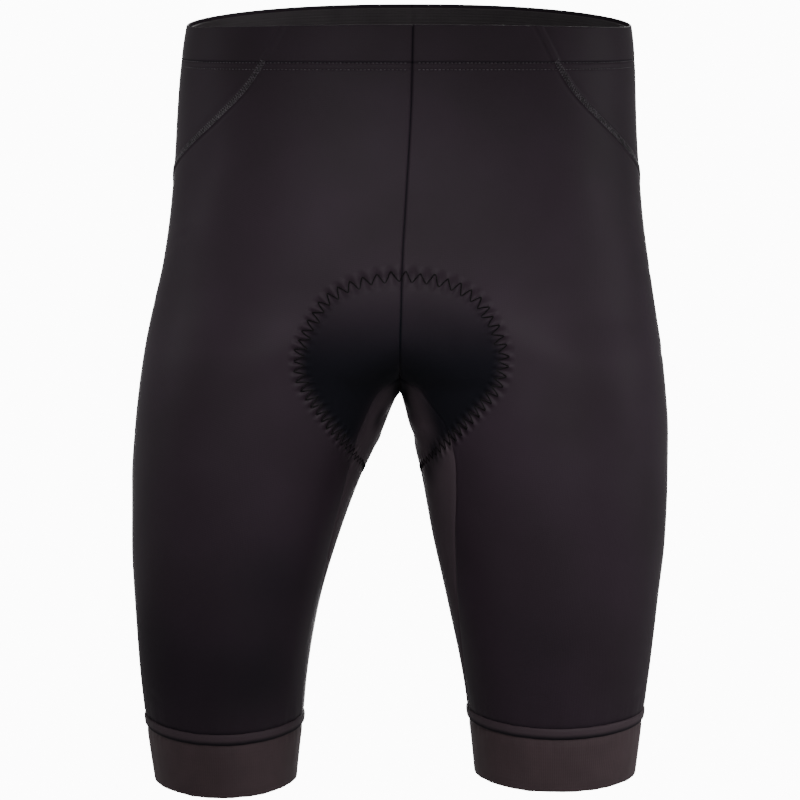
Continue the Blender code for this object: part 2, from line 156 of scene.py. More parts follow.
# Front and back depth, and how square each ring is on its outer and its inner half
DEPTH = Profile(
    ("level", "front", "back", "square", "inner_square"),
    (
        (0, 99, 103, 2.35, 2.35),
        (-60, 102, 110, 2.35, 2.40),
        (-120, 104, 120, 2.35, 2.60),
        (-170, 103, 124, 2.35, 3.40),
        (-215, 99, 119, 2.30, 4.60),
        (-236, 97, 112, 2.30, 3.80),
        (-256, 95, 104, 2.30, 2.50),
        (-284, 93, 95, 2.25, 2.30),
        (-330, 89, 85, 2.20, 2.15),
        (-390, 81, 75, 2.10, 2.10),
        (-440, 71, 67, 2.10, 2.05),
        (-487, 61, 60, 2.05, 2.05),
        (-526, 56, 57, 2.05, 2.05),
    ),
)

# Where each leg's inner side lies, as a share of the way out to its outer side
FORK = Profile(
    ("level", "right", "left"),
    (
        (0, -1.0, -1.0),
        (-165, -1.0, -1.0),
        (-185, -0.93, -0.93),
        (-205, -0.70, -0.70),
        (-220, -0.40, -0.40),
        (-234, -0.155, -0.155),
        (-246, -0.048, -0.048),
        (-256, 0.0, 0.0),
        (-263, 0.022, 0.012),
        (-284, 0.0685, 0.041),
        (-319, 0.153, 0.0824),
        (-361, 0.235, 0.128),
        (-403, 0.302, 0.182),
        (-445, 0.350, 0.236),
        (-487, 0.383, 0.281),
        (-526, 0.420, 0.315),
    ),
)

# How each ring tips: the front is lowered by tip less bow, and the back raised by their sum
PITCH = Profile(
    ("level", "tip", "bow"),
    (
        (0, 18.5, 7.5),
        (-28, 17.0, 3.5),
        (-80, 7.0, 1.0),
        (-135, 0.0, 0.0),
        (-360, 0.0, 0.0),
        (-440, 5.0, -1.5),
        (-487, 8.0, -3.5),
        (-526, 6.8, -2.7),
    ),
)

# The side seam, which runs from the front of the waist round to the back of the leg
SIDE_SEAM = Profile(
    ("level", "turn"),
    (
        (0, 122.0),
        (-26, 127.5),
        (-42, 131.5),
        (-56, 136.5),
        (-70, 143.0),
        (-84, 152.0),
        (-95, 162.0),
        (-107, 178.0),
        (-126, 196.0),
        (-152, 209.0),
        (-192, 219.0),
        (-245, 225.0),
        (-330, 228.0),
        (-481, 226.0),
    ),
)

# The two edges of the inner panel, as turns to either side of the leg's inner side
INNER_SEAMS = Profile(
    ("level", "front_right", "front_left", "back"),
    (
        (-262, 37.5, 39.0, 38.0),
        (-284, 37.5, 46.5, 40.0),
        (-300, 33.0, 46.5, 41.0),
        (-322, 27.5, 43.5, 41.5),
        (-360, 20.5, 35.5, 41.0),
        (-385, 14.0, 30.0, 40.0),
        (-403, 8.0, 26.0, 39.0),
        (-438, -2.0, 17.5, 37.0),
        (-481, -8.0, 11.0, 35.0),
    ),
)

# The pad's sewn edge beside each place on the centre line, from front to back
PAD_EDGE = Profile(
    ("walk", "turn", "level"),
    (
        (-150, 95.5, -182.5),
        (-138, 100.5, -188.5),
        (-124, 102.5, -198.0),
        (-108, 99.5, -211.0),
        (-92, 91, -226.0),
        (-78, 83, -238.0),
        (-64, 75, -252.0),
        (-48, 63, -270.0),
        (-32, 47, -289.0),
        (-16, 25, -304.0),
        (0, 0, -311.0),
        (18, -26, -306.0),
        (38, -48, -291.0),
        (60, -68, -270.0),
        (84, -88, -246.0),
        (108, -100, -222.0),
        (132, -110, -198.0),
        (156, -113, -174.0),
        (176, -110, -155.0),
        (190, -102, -143.0),
    ),
)


# Patches of painted shade on the panels: side, turn, level, reach in mm and how dark
PAINTED_SHADE_PATCHES = (
    (Side.LEFT, 18, -266, 9, 0.9),
    (Side.LEFT, 33, -299, 9, 0.8),
    (Side.LEFT, 24, -311, 9, 0.6),
    (Side.RIGHT, 24, -275, 7, 0.8),
    (Side.RIGHT, 134, -445, 48, 0.4),
    (Side.RIGHT, 63, -445, 32, 0.45),
    (Side.RIGHT, 60, -385, 32, 0.4),
    (Side.LEFT, 82, -430, 30, 0.15),
)


@dataclass(frozen=True)
class Course:
    """A line along the cloth, as places on the form and the points that they give."""

    side: Side
    turn: Array
    level: Array
    points: Array

    @property
    def walk(self) -> Array:
        """The way walked to each point."""
        return lengths(self.points)

    def near(self, places: Array) -> tuple[Array, Array]:
        """The nearest place on the line to each point given.

        The nearest point comes first, from |p|^2 - 2 p.q + |q|^2, and then the nearer of the
        two straight pieces beside it.

        Args:
            places: Points, in mm, in any grid.

        Returns:
            The distance to the line and the walk along it, both in the shape of the grid.
        """
        flat, line, walk = places.reshape(-1, 3), self.points, self.walk
        gaps = (flat**2).sum(1)[:, None] - 2 * flat @ line.T + (line**2).sum(1)
        nearest = gaps.argmin(1)
        gap, run = np.full(len(flat), np.inf), np.zeros(len(flat))
        for offset in (-1, 0):
            start = np.clip(nearest + offset, 0, len(line) - 2)
            along = line[start + 1] - line[start]
            share = ((flat - line[start]) * along).sum(1) / np.maximum((along**2).sum(1), 1e-9)
            share = np.clip(share, 0, 1)
            apart = np.linalg.norm(flat - line[start] - share[:, None] * along, axis=1)
            closer = apart < gap
            gap = np.where(closer, apart, gap)
            run = np.where(closer, walk[start] + share * (walk[start + 1] - walk[start]), run)
        shape = places.shape[:-1]
        return gap.reshape(shape), run.reshape(shape)


@dataclass(frozen=True)
class Form:
    """The smooth form that all the cloth lies on: a hip that forks into two legs."""

    crotch: float = -256.0
    inner_top: float = -246.5
    inner_blend_end: float = -326.0
    panel_end: float = -481.0
    left_leg_rise: float = 4.0
    pad_swell: float = 1.8
    pad_swell_reach: float = 24.0
    half_gap: float = 0.0

    def raised(self, side: Side, level: Array) -> Array:
        """How far the left leg's lower end is drawn up beyond the right's."""
        share = np.clip((self.crotch - level) / (self.crotch - self.panel_end), 0, 1)
        return self.left_leg_rise * share * share * (side is Side.LEFT)

    def point(self, side: Side, turn: Array, level: Array) -> Array:
        """Points on the form.

        Each ring is a superellipse |a|^n + |b|^n = 1 drawn by its direction, stretched to the
        ring's half width and depth, and tipped by a line and a square of its depth.

        Args:
            side: The leg.
            turn: Degrees round it.
            level: Heights of the rings, in mm.

        Returns:
            Points in mm, one for each place.
        """
        turn, level = np.broadcast_arrays(np.asarray(turn, float), np.asarray(level, float))
        centre = OUTLINE.at("centre", level)
        wide = OUTLINE.at(side.word, level) - side.value * centre
        share = FORK.at(side.word, level)
        half, middle = wide * (1 - share) / 2, wide * (1 + share) / 2
        c, s = np.cos(np.radians(turn)), np.sin(np.radians(turn))
        power = np.where(c > 0, DEPTH.at("inner_square", level), DEPTH.at("square", level))
        ring = (np.abs(c) ** power + np.abs(s) ** power) ** (1 / power)
        across, along = c / ring, s / ring
        depth = np.where(s >= 0, DEPTH.at("front", level), DEPTH.at("back", level))
        tip, bow = PITCH.at("tip", level), PITCH.at("bow", level)
        z = level - tip * along + bow * along**2 + self.raised(side, level)
        x = centre + side.value * (middle - half * across)
        return np.stack([x, -depth * along, z], -1)

    def normal(self, side: Side, turn: Array, level: Array) -> Array:
        """Outward unit normals: the cross product of small steps round the ring and up it."""
        turn, level = np.broadcast_arrays(np.asarray(turn, float), np.asarray(level, float))
        around = self.point(side, turn + 0.5, level) - self.point(side, turn - 0.5, level)
        up = self.point(side, turn, level + 0.5) - self.point(side, turn, level - 0.5)
        return unit(side.value * np.cross(around, up))

    def centre_turn(self, level: Array) -> Array:
        """The turn at which a ring above the crotch meets the centre line at the front."""
        level = np.maximum(np.asarray(level, float), self.crotch)
        share = FORK.at("right", level)
        power = DEPTH.at("inner_square", level)
        across = np.clip((1 + share) / (1 - share), 0, 1)
        return np.degrees(np.arctan2((1 - across**power) ** (1 / power), across))

    def centre_curve(self) -> tuple[Array, Array, Array]:
        """Turn, level and walk along the centre line, from the front waist under to the back."""
        rise = np.linspace(0, 1, 241) ** 2.5 * -self.crotch
        level = np.concatenate([self.crotch + rise[::-1], self.crotch + rise[1:]])
        front, back = self.centre_turn(level[:241]), self.centre_turn(level[241:])
        turn = np.concatenate([front, -back])
        walk = lengths(self.point(Side.LEFT, turn, level))
        return turn, level, walk - walk[240]

    def front_seam(self, side: Side, level: Array) -> Array:
        """Where the front panel starts: on the centre seam, then on the inner seam."""
        return self._inner_edge(level, "front_" + side.word)

    def back_seam(self, level: Array) -> Array:
        """Where the back panel ends, counted back from the leg's inner side."""
        return self._inner_edge(level, "back")

    def _inner_edge(self, level: Array, name: str) -> Array:
        """The centre line's turn above the inner panel, eased into the inner seam's."""
        first = INNER_SEAMS.rows[0][0]
        ease = np.clip((self.inner_top - level) / (self.inner_top - first), 0, 1)
        top = self.centre_turn(self.inner_top)
        low = INNER_SEAMS.at(name, level)
        return np.where(level >= self.inner_top, self.centre_turn(level), top + (low - top) * ease)

    def inward(self, side: Side, turn: Array, level: Array, on_centre: Array) -> Array:
        """The step to a face 1 mm further in. On the centre line it keeps to that line's plane
        and is longer, so that the faces of both sides still meet."""
        normal = self.normal(side, turn, level)
        flat = normal * np.array([0, 1, 1])
        length = np.linalg.norm(flat, axis=-1, keepdims=True)
        mitred = flat / np.maximum(length, 1e-6) / np.maximum(length, 0.45)
        return -np.where(on_centre[..., None], mitred, normal)

    def keep_clear(self, side: Side, points: Array, level: Array) -> Array:
        """Holds points on their own side of the centre line's plane."""
        centre = OUTLINE.at("centre", level)
        out = np.maximum(side.value * (points[..., 0] - centre), self.half_gap)
        return np.concatenate([(centre + side.value * out)[..., None], points[..., 1:]], -1)

    def course(self, side: Side, turn: Array, level: Array) -> Course:
        """A line on the form."""
        return Course(side, turn, level, self.point(side, turn, level))

    def pad_course(self, side: Side, count: int = 420) -> Course:
        """The pad's sewn edge on one side, from the front of the centre line to its back.

        Both ends cross to the centre line in even steps of turn and level.
        """
        curve_turn, curve_level, curve_walk = self.centre_curve()
        walk = np.linspace(PAD_EDGE.rows[0][0], PAD_EDGE.rows[-1][0], count)
        turn, level = PAD_EDGE.at("turn", walk), PAD_EDGE.at("level", walk)
        share = np.linspace(0, 1, count // 12)[:-1]
        centre_turn = np.interp(walk[[0, -1]], curve_walk, curve_turn)[:, None]
        centre_level = np.interp(walk[[0, -1]], curve_walk, curve_level)[:, None]
        turns = centre_turn + (turn[[0, -1], None] - centre_turn) * share
        levels = centre_level + (level[[0, -1], None] - centre_level) * share
        turn = np.concatenate([turns[0], turn, turns[1, ::-1]])
        level = np.concatenate([levels[0], level, levels[1, ::-1]])
        return self.course(side, turn, level)

    def within_pad(self, turn: Array, level: Array) -> Array:
        """Whether places lie within the pad's edge: a line to one side crosses it oddly often."""
        turn = np.where(turn > FULL_TURN / 2, turn - FULL_TURN, turn)
        edge = self.pad_course(Side.LEFT, 150)
        a, b = edge.turn, edge.level
        c, d = np.roll(a, -1), np.roll(b, -1)
        across, high = turn[..., None], level[..., None]
        between = (b > high) != (d > high)
        fall = np.where(b != d, d - b, 1.0)
        crossed = between & (across < a + (high - b) * (c - a) / fall)
        return crossed.sum(-1) % 2 == 1

    def spread(self, side: Side, start: Array, end: Array, level: Array, count: int) -> Array:
        """Turns across one panel, row by row: set distances from both seams, even between.

        Args:
            side: The leg.
            start: The turn of each row's first seam.
            end: The turn of each row's last seam.
            level: Each row's level.
            count: How many columns.

        Returns:
            Turns, rows by columns.
        """
        close = np.array([0, 0.4, 0.8, 1.3, 1.9, 2.6, 3.5, 4.8, 6.5])
        share = np.linspace(0, 1, 241)
        fine = start[:, None] + (end - start)[:, None] * share
        walk = lengths(self.point(side, fine, level[:, None]))
        total = walk[:, -1:]
        between = np.linspace(0, 1, count - 2 * len(close) + 2)[1:-1]
        middle = close[-1] + (total - 2 * close[-1]) * between
        first = np.broadcast_to(close, (len(level), len(close)))
        wanted = np.concatenate([first, middle, total - close[::-1]], 1) / total
        row = np.arange(len(level))[:, None]
        known = (walk / total * 0.999 + row).ravel()
        return np.interp((wanted * 0.999 + row).ravel(), known, fine.ravel()).reshape(wanted.shape)


@dataclass(frozen=True)
class Crease:
    """A soft fold along a few places: a trough between two low shoulders, fading at its ends.

    A negative depth makes a ridge between two low troughs.
    """

    places: tuple[tuple[float, float], ...]
    width: float
    depth: float

    def height(self, form: Form, side: Side, points: Array) -> Array:
        """How far the crease lifts each point: its section along exp(-x^2), less a wider bell."""
        known = np.array(self.places, float)
        share = np.linspace(0, 1, 24)
        at = np.linspace(0, 1, len(known))
        turn, level = (np.interp(share, at, known[:, k]) for k in (0, 1))
        line = form.course(side, turn, level)
        low, high = line.points.min(0) - 4 * self.width, line.points.max(0) + 4 * self.width
        close = ((points > low) & (points < high)).all(-1)
        lifted = np.zeros(points.shape[:-1])
        if close.any():
            gap, run = line.near(points[close])
            fade = np.sin(np.pi * np.clip(run / line.walk[-1], 0, 1)) ** 0.7
            section = (bell(gap, self.width) - 0.4 * bell(gap, 2.2 * self.width)) / 0.6
            lifted[close] = -self.depth * section * fade
        return lifted


@dataclass(frozen=True)
class PadMap:
    """Where places lie against the pad's sewn edge."""

    gap: Array
    run: Array
    inside: Array

    @property
    def signed(self) -> Array:
        """The distance to the edge, positive within it."""
        return np.where(self.inside, self.gap, -self.gap)


@dataclass(frozen=True)
class Relief:
    """What sewing and wear do to the smooth cloth: seams, hems, stitch grooves and creases, and the painted shade
    laid on it.
    """

    form: Form
    upper_row: float = -23.5
    lower_row: float = -28.0
    row_groove: float = 0.38
    row_width: float = 0.9
    band_bulge: float = 0.35
    seam_valley: float = 0.8
    seam_width: float = 0.85
    inner_valley: float = 0.5
    crotch_level: float = -254.5
    crotch_lump: float = 1.6
    crotch_reach: float = 9.0
    # How far the painted shade at the crotch reaches, in mm
    crotch_shade_reach: float = 8.5
    strip_half: float = 2.1
    strip_rise: float = 0.28
    pad_groove: float = 0.6
    pad_groove_width: float = 3.4
    hem_reach: float = 13.0
    hem_pucker: float = 0.28
    creases: dict[Side, tuple[Crease, ...]] = field(default_factory=dict)

    def pad_map(self, side: Side, turn: Array, level: Array, points: Array) -> PadMap:
        """Where places lie against the pad's edge."""
        gap, run = self.form.pad_course(side).near(points)
        return PadMap(gap, run, self.form.within_pad(turn, level))

    def side_course(self, side: Side) -> Course:
        """The side seam's line."""
        level = np.linspace(0, self.form.panel_end, 420)
        return self.form.course(side, SIDE_SEAM.at("turn", level), level)

    def inner_course(self, side: Side, front: bool) -> Course:
        """The line of an inner seam, in front or at the back."""
        level = np.linspace(self.form.inner_top, self.form.panel_end, 240)
        turn = self.form.front_seam(side, level) if front else -self.form.back_seam(level)
        return self.form.course(side, turn, level)

    def centre_course(self, side: Side) -> Course:
        """The centre seam's line, from the front waist under to the back."""
        turn, level, _ = self.form.centre_curve()
        return self.form.course(side, turn, level)

    def swell(self, pad: PadMap, normal: Array) -> Array:
        """How far the pad pushes the cloth out: 2s - s^2 of its depth within the edge."""
        share = np.clip(pad.gap / self.form.pad_swell_reach, 0, 1) * pad.inside
        return self.form.pad_swell * share * (2 - share) * (1 - normal[..., 0] ** 2)

    def groove(self, gap: Array) -> Array:
        """The trough that the zigzag draws into the cloth."""
        return -self.pad_groove * bell(gap, self.pad_groove_width)

    def hold(self, turn: Array) -> Array:
        """How firmly the zigzag draws the cloth in: a third as much on the inner panels."""
        turn = np.where(turn > FULL_TURN / 2, turn - FULL_TURN, turn)
        return 0.3 + 0.7 * smooth_step(24, 54, np.abs(turn))

    def from_crotch(self, side: Side, points: Array) -> Array:
        """How far points lie from the place where the seams meet in front of the crotch."""
        turn = self.form.centre_turn(self.crotch_level)
        meeting = self.form.point(side, turn, self.crotch_level)
        return np.linalg.norm(points - meeting, axis=-1)

    def crotch_painted_shade(self, turn: Array, level: Array, seam: Array) -> Array:
        """Painted shade in front of the crotch, where the seams meet, fading away from the centre seam."""
        front = smooth_step(-6, 4, np.where(turn > FULL_TURN / 2, turn - FULL_TURN, turn))
        return 1.5 * bell(seam, self.crotch_shade_reach) * smooth_step(-240, -246, level) * front

    def painted_patch_shade(self, side: Side, points: Array) -> Array:
        """Painted shade in patches on a panel, each patch a bell round a place."""
        dark = np.zeros(points.shape[:-1])
        for patch_side, turn, level, reach, strength in PAINTED_SHADE_PATCHES:
            if patch_side is side:
                middle = self.form.point(side, turn, level)
                dark = dark + strength * bell(np.linalg.norm(points - middle, axis=-1), reach)
        return dark

    def shade(self, turn: Array, level: Array, pad: PadMap, seam: Array, painted_dark: Array) -> Array:
        """How much painted shade the cloth gets, from 0 to 1.

        Over the pad the cloth gets painted shade that deepens towards the crotch. The folds of the
        centre seam, the upper row and the panel's end at the roll's top get painted shade too, and so
        does the painted shade passed in for the crotch and the patches.
        """
        turn = np.where(turn > FULL_TURN / 2, turn - FULL_TURN, turn)
        # Painted shade over the pad, deepening towards the crotch
        painted_pad_shade = smooth_step(-2, 5, pad.signed) * smooth_step(-174, -244, level)
        painted_pad_shade = painted_pad_shade * smooth_step(30, 44, np.abs(turn))
        # Painted shade under the upper row of stitches and at the panel's end above the roll
        row = bell(level - self.upper_row - 0.6, 0.6)
        hem = bell(level - self.form.panel_end, 1.4)
        return np.clip(0.92 * painted_pad_shade + painted_dark + 0.75 * bell(seam, 0.6) + 0.5 * row + 0.8 * hem, 0, 1)

    def drape(self, side: Side, turn: Array, level: Array) -> Array:
        """The slow unevenness of stretched cloth: three crossing waves, 0.2 mm or so each."""
        shift = 0.9 if side is Side.LEFT else 0.0
        a = np.radians(turn)
        waves = 0.20 * np.sin(3.1 * a + level / 31 + shift)
        waves = waves + 0.16 * np.sin(5.3 * a - level / 23 + 1.7 + 2 * shift)
        return waves + 0.12 * np.sin(8.7 * a + level / 13 + 4.1 - shift)

    def height(self, side: Side, turn: Array, level: Array, points: Array, pad: PadMap) -> Array:
        """How far the outer face stands off the form, the pad's swell left out.

        Args:
            side: The leg.
            turn: Degrees round it.
            level: Heights of the rings.
            points: The same places as points on the form.
            pad: Where they lie against the pad's edge.

        Returns:
            The sum of every seam, row of stitches, crease and wave, in mm.
        """
        high = self.drape(side, turn, level) * smooth_step(0, -30, level)
        band = np.clip(-level / -self.upper_row, 0, 1)
        high = high + self.band_bulge * np.sin(np.pi * band) ** 0.6
        for row, share in ((self.upper_row, 1.0), (self.lower_row, 0.6)):
            high = high - share * self.row_groove * bell(level - row, self.row_width)
        centre, _ = self.centre_course(side).near(points)
        high = high - self.seam_valley * bell(centre, self.seam_width)
        strip, _ = self.side_course(side).near(points)
        raised = self.strip_rise * (1 - smooth_step(self.strip_half - 0.3, self.strip_half + 0.9, strip))
        high = high + raised - 0.3 * bell(strip - self.strip_half - 1.3, 0.9)
        for front in (True, False):
            inner, _ = self.inner_course(side, front).near(points)
            high = high - self.inner_valley * bell(inner, self.seam_width)
        high = high + self.groove(pad.gap) * self.hold(turn)
        high = high + self.crotch_lump * bell(self.from_crotch(side, points), self.crotch_reach)
        above = level - self.form.panel_end
        round_leg = np.radians(turn)
        pucker = np.sin(41 * round_leg + 1.5 * np.sin(3 * round_leg)) * np.sin(17 * round_leg)
        high = high + self.hem_pucker * pucker * bell(above, self.hem_reach)
        high = high - 0.5 * bell(above, 1.5)
        for crease in self.creases.get(side, ()):
            high = high + crease.height(self.form, side, points)
        return high

    def surface(self, side: Side, turn: Array, level: Array) -> Array:
        """Points on the outer face of the cloth as it is sewn."""
        points = self.form.point(side, turn, level)
        normal = self.form.normal(side, turn, level)
        pad = self.pad_map(side, turn, level, points)
        out = self.swell(pad, normal) + self.height(side, turn, level, points, pad)
        return points + normal * out[..., None]


class Fold(Enum):
    """Where a crease is listed: on the wearer's right side, left side, or on both."""

    RIGHT = (Side.RIGHT,)
    LEFT = (Side.LEFT,)
    BOTH = (Side.RIGHT, Side.LEFT)


def hand_placed_creases() -> dict[Side, tuple[Crease, ...]]:
    """The creases of the cloth, uneven in length, depth and spacing."""
    listed = [
        # Crossing the left hip and thigh, short and shallow
        (Fold.LEFT, ((150, -128), (162, -126), (172, -129)), 3.4, 0.35),
        (Fold.LEFT, ((146, -146), (158, -148)), 2.6, 0.30),
        (Fold.LEFT, ((152, -172), (164, -170), (178, -174)), 3.8, 0.42),
        (Fold.LEFT, ((148, -205), (157, -203)), 2.8, 0.28),
        (Fold.LEFT, ((158, -232), (171, -229), (181, -233)), 3.6, 0.36),
        # Long soft dips down the front of each hip
        (Fold.RIGHT, ((141, -66), (144, -100), (147, -142)), 14.0, 0.8),
        (Fold.LEFT, ((139, -88), (142, -116), (146, -150)), 12.0, 0.45),
        # The same hip on the right
        (Fold.RIGHT, ((148, -150), (160, -153)), 3.2, 0.28),
        (Fold.RIGHT, ((151, -196), (165, -193), (176, -197)), 4.2, 0.34),
        # Drawn from the crotch out along the groin
        (Fold.BOTH, ((66, -238), (74, -226), (84, -219)), 5.5, 0.55),
        (Fold.RIGHT, ((48, -262), (58, -251), (70, -247)), 4.5, 0.50),
        (Fold.LEFT, ((46, -266), (60, -256), (76, -254)), 5.0, 0.45),
        # Across the inner panels
        (Fold.LEFT, ((2, -273), (20, -279), (38, -287)), 4.0, -0.9),
        (Fold.LEFT, ((-16, -284), (4, -289), (26, -299)), 6.0, 0.9),
        (Fold.RIGHT, ((2, -268), (14, -273), (30, -281)), 4.0, 0.6),
        (Fold.RIGHT, ((-26, -283), (-10, -288), (8, -291)), 4.4, -0.6),
        # Under the seat
        (Fold.RIGHT, ((-38, -262), (-58, -276), (-84, -281), (-112, -274)), 7.0, 1.3),
        (Fold.LEFT, ((-36, -260), (-60, -274), (-88, -280), (-118, -271)), 7.5, 1.2),
        (Fold.RIGHT, ((-56, -291), (-78, -297), (-98, -294)), 5.5, 0.7),
        (Fold.LEFT, ((-50, -288), (-70, -295), (-96, -297)), 5.0, 0.8),
        # Behind the thighs, towards the knee
        (Fold.RIGHT, ((-62, -402), (-92, -407), (-120, -401)), 6.0, 0.7),
        (Fold.LEFT, ((-66, -395), (-90, -399), (-116, -392)), 5.5, 0.6),
        (Fold.RIGHT, ((-74, -440), (-98, -444)), 4.5, 0.5),
        (Fold.LEFT, ((-58, -431), (-84, -436), (-108, -432)), 5.0, 0.55),
        # In the small of the back, under the waistband
        (Fold.RIGHT, ((262, -52), (238, -56), (214, -52)), 5.0, 0.5),
        (Fold.LEFT, ((258, -47), (231, -52)), 4.5, 0.45),
        (Fold.LEFT, ((250, -72), (222, -75), (204, -71)), 5.5, 0.5),
        (Fold.RIGHT, ((246, -84), (220, -88)), 5.0, 0.4),
        # Above the grippers, where the cloth is drawn in
        (Fold.RIGHT, ((118, -462), (136, -465), (152, -461)), 3.4, 0.35),
        (Fold.LEFT, ((64, -458), (84, -462)), 3.2, 0.30),
        (Fold.LEFT, ((142, -466), (160, -463)), 3.4, 0.35),
    ]
    sorted_by_side: dict[Side, list[Crease]] = {side: [] for side in Side}
    for fold, places, width, depth in listed:
        for side in fold.value:
            sorted_by_side[side].append(Crease(places, width, depth))
    return {side: tuple(creases) for side, creases in sorted_by_side.items()}


def linear(hex_colour: str) -> tuple[float, float, float, float]:
    """An sRGB hex colour as linear RGBA: x/12.92 below 0.04045, else ((x+0.055)/1.055)^2.4."""
    values = [int(hex_colour[k : k + 2], 16) / 255 for k in (1, 3, 5)]
    red, green, blue = (
        x / 12.92 if x <= 0.04045 else ((x + 0.055) / 1.055) ** 2.4 for x in values
    )
    return red, green, blue, 1.0


def add_node(tree: bpy.types.NodeTree, kind: str, inputs: dict, **settings) -> bpy.types.Node:
    """Adds a node with its settings, values and links.

    Args:
        tree: The material's nodes.
        kind: The node's type.
        inputs: For each input, by name or number, a value or the output linked to it.
        **settings: The node's own settings.

    Returns:
        The node.
    """
    made = tree.nodes.new(kind)
    for name, value in settings.items():
        setattr(made, name, value)
    for socket, value in inputs.items():
        if isinstance(value, bpy.types.NodeSocket):
            tree.links.new(value, made.inputs[socket])
        else:
            made.inputs[socket].default_value = value
    return made


@dataclass(frozen=True)
class Finish:
    """What every finish shares: its name and the constants of its shader."""

    name: str = "finish"
    roughness: float = 0.5
    ior: float = 1.5
    specular: float = 0.5
    sheen: float = 0.0
    sheen_roughness: float = 0.4
    sheen_tint: str = "#ffffff"

    def start(self) -> tuple[bpy.types.Material, bpy.types.NodeTree, bpy.types.Node]:
        """A new material, its nodes, and its shader with the constants set."""
        made = bpy.data.materials.new(self.name)
        made.use_nodes = True
        tree = made.node_tree
        shader = tree.nodes["Principled BSDF"]
        shader.inputs["Metallic"].default_value = 0.0
        shader.inputs["Roughness"].default_value = self.roughness
        shader.inputs["IOR"].default_value = self.ior
        shader.inputs["Specular IOR Level"].default_value = self.specular
        shader.inputs["Sheen Weight"].default_value = self.sheen
        shader.inputs["Sheen Roughness"].default_value = self.sheen_roughness
        shader.inputs["Sheen Tint"].default_value = linear(self.sheen_tint)
        return made, tree, shader

    @staticmethod
    def wave_scale(period_mm: float) -> float:
        """A Wave texture's scale for bands this far apart, as it draws sin(20 x scale)."""
        return 2 * np.pi / 20 / (period_mm * METRES)


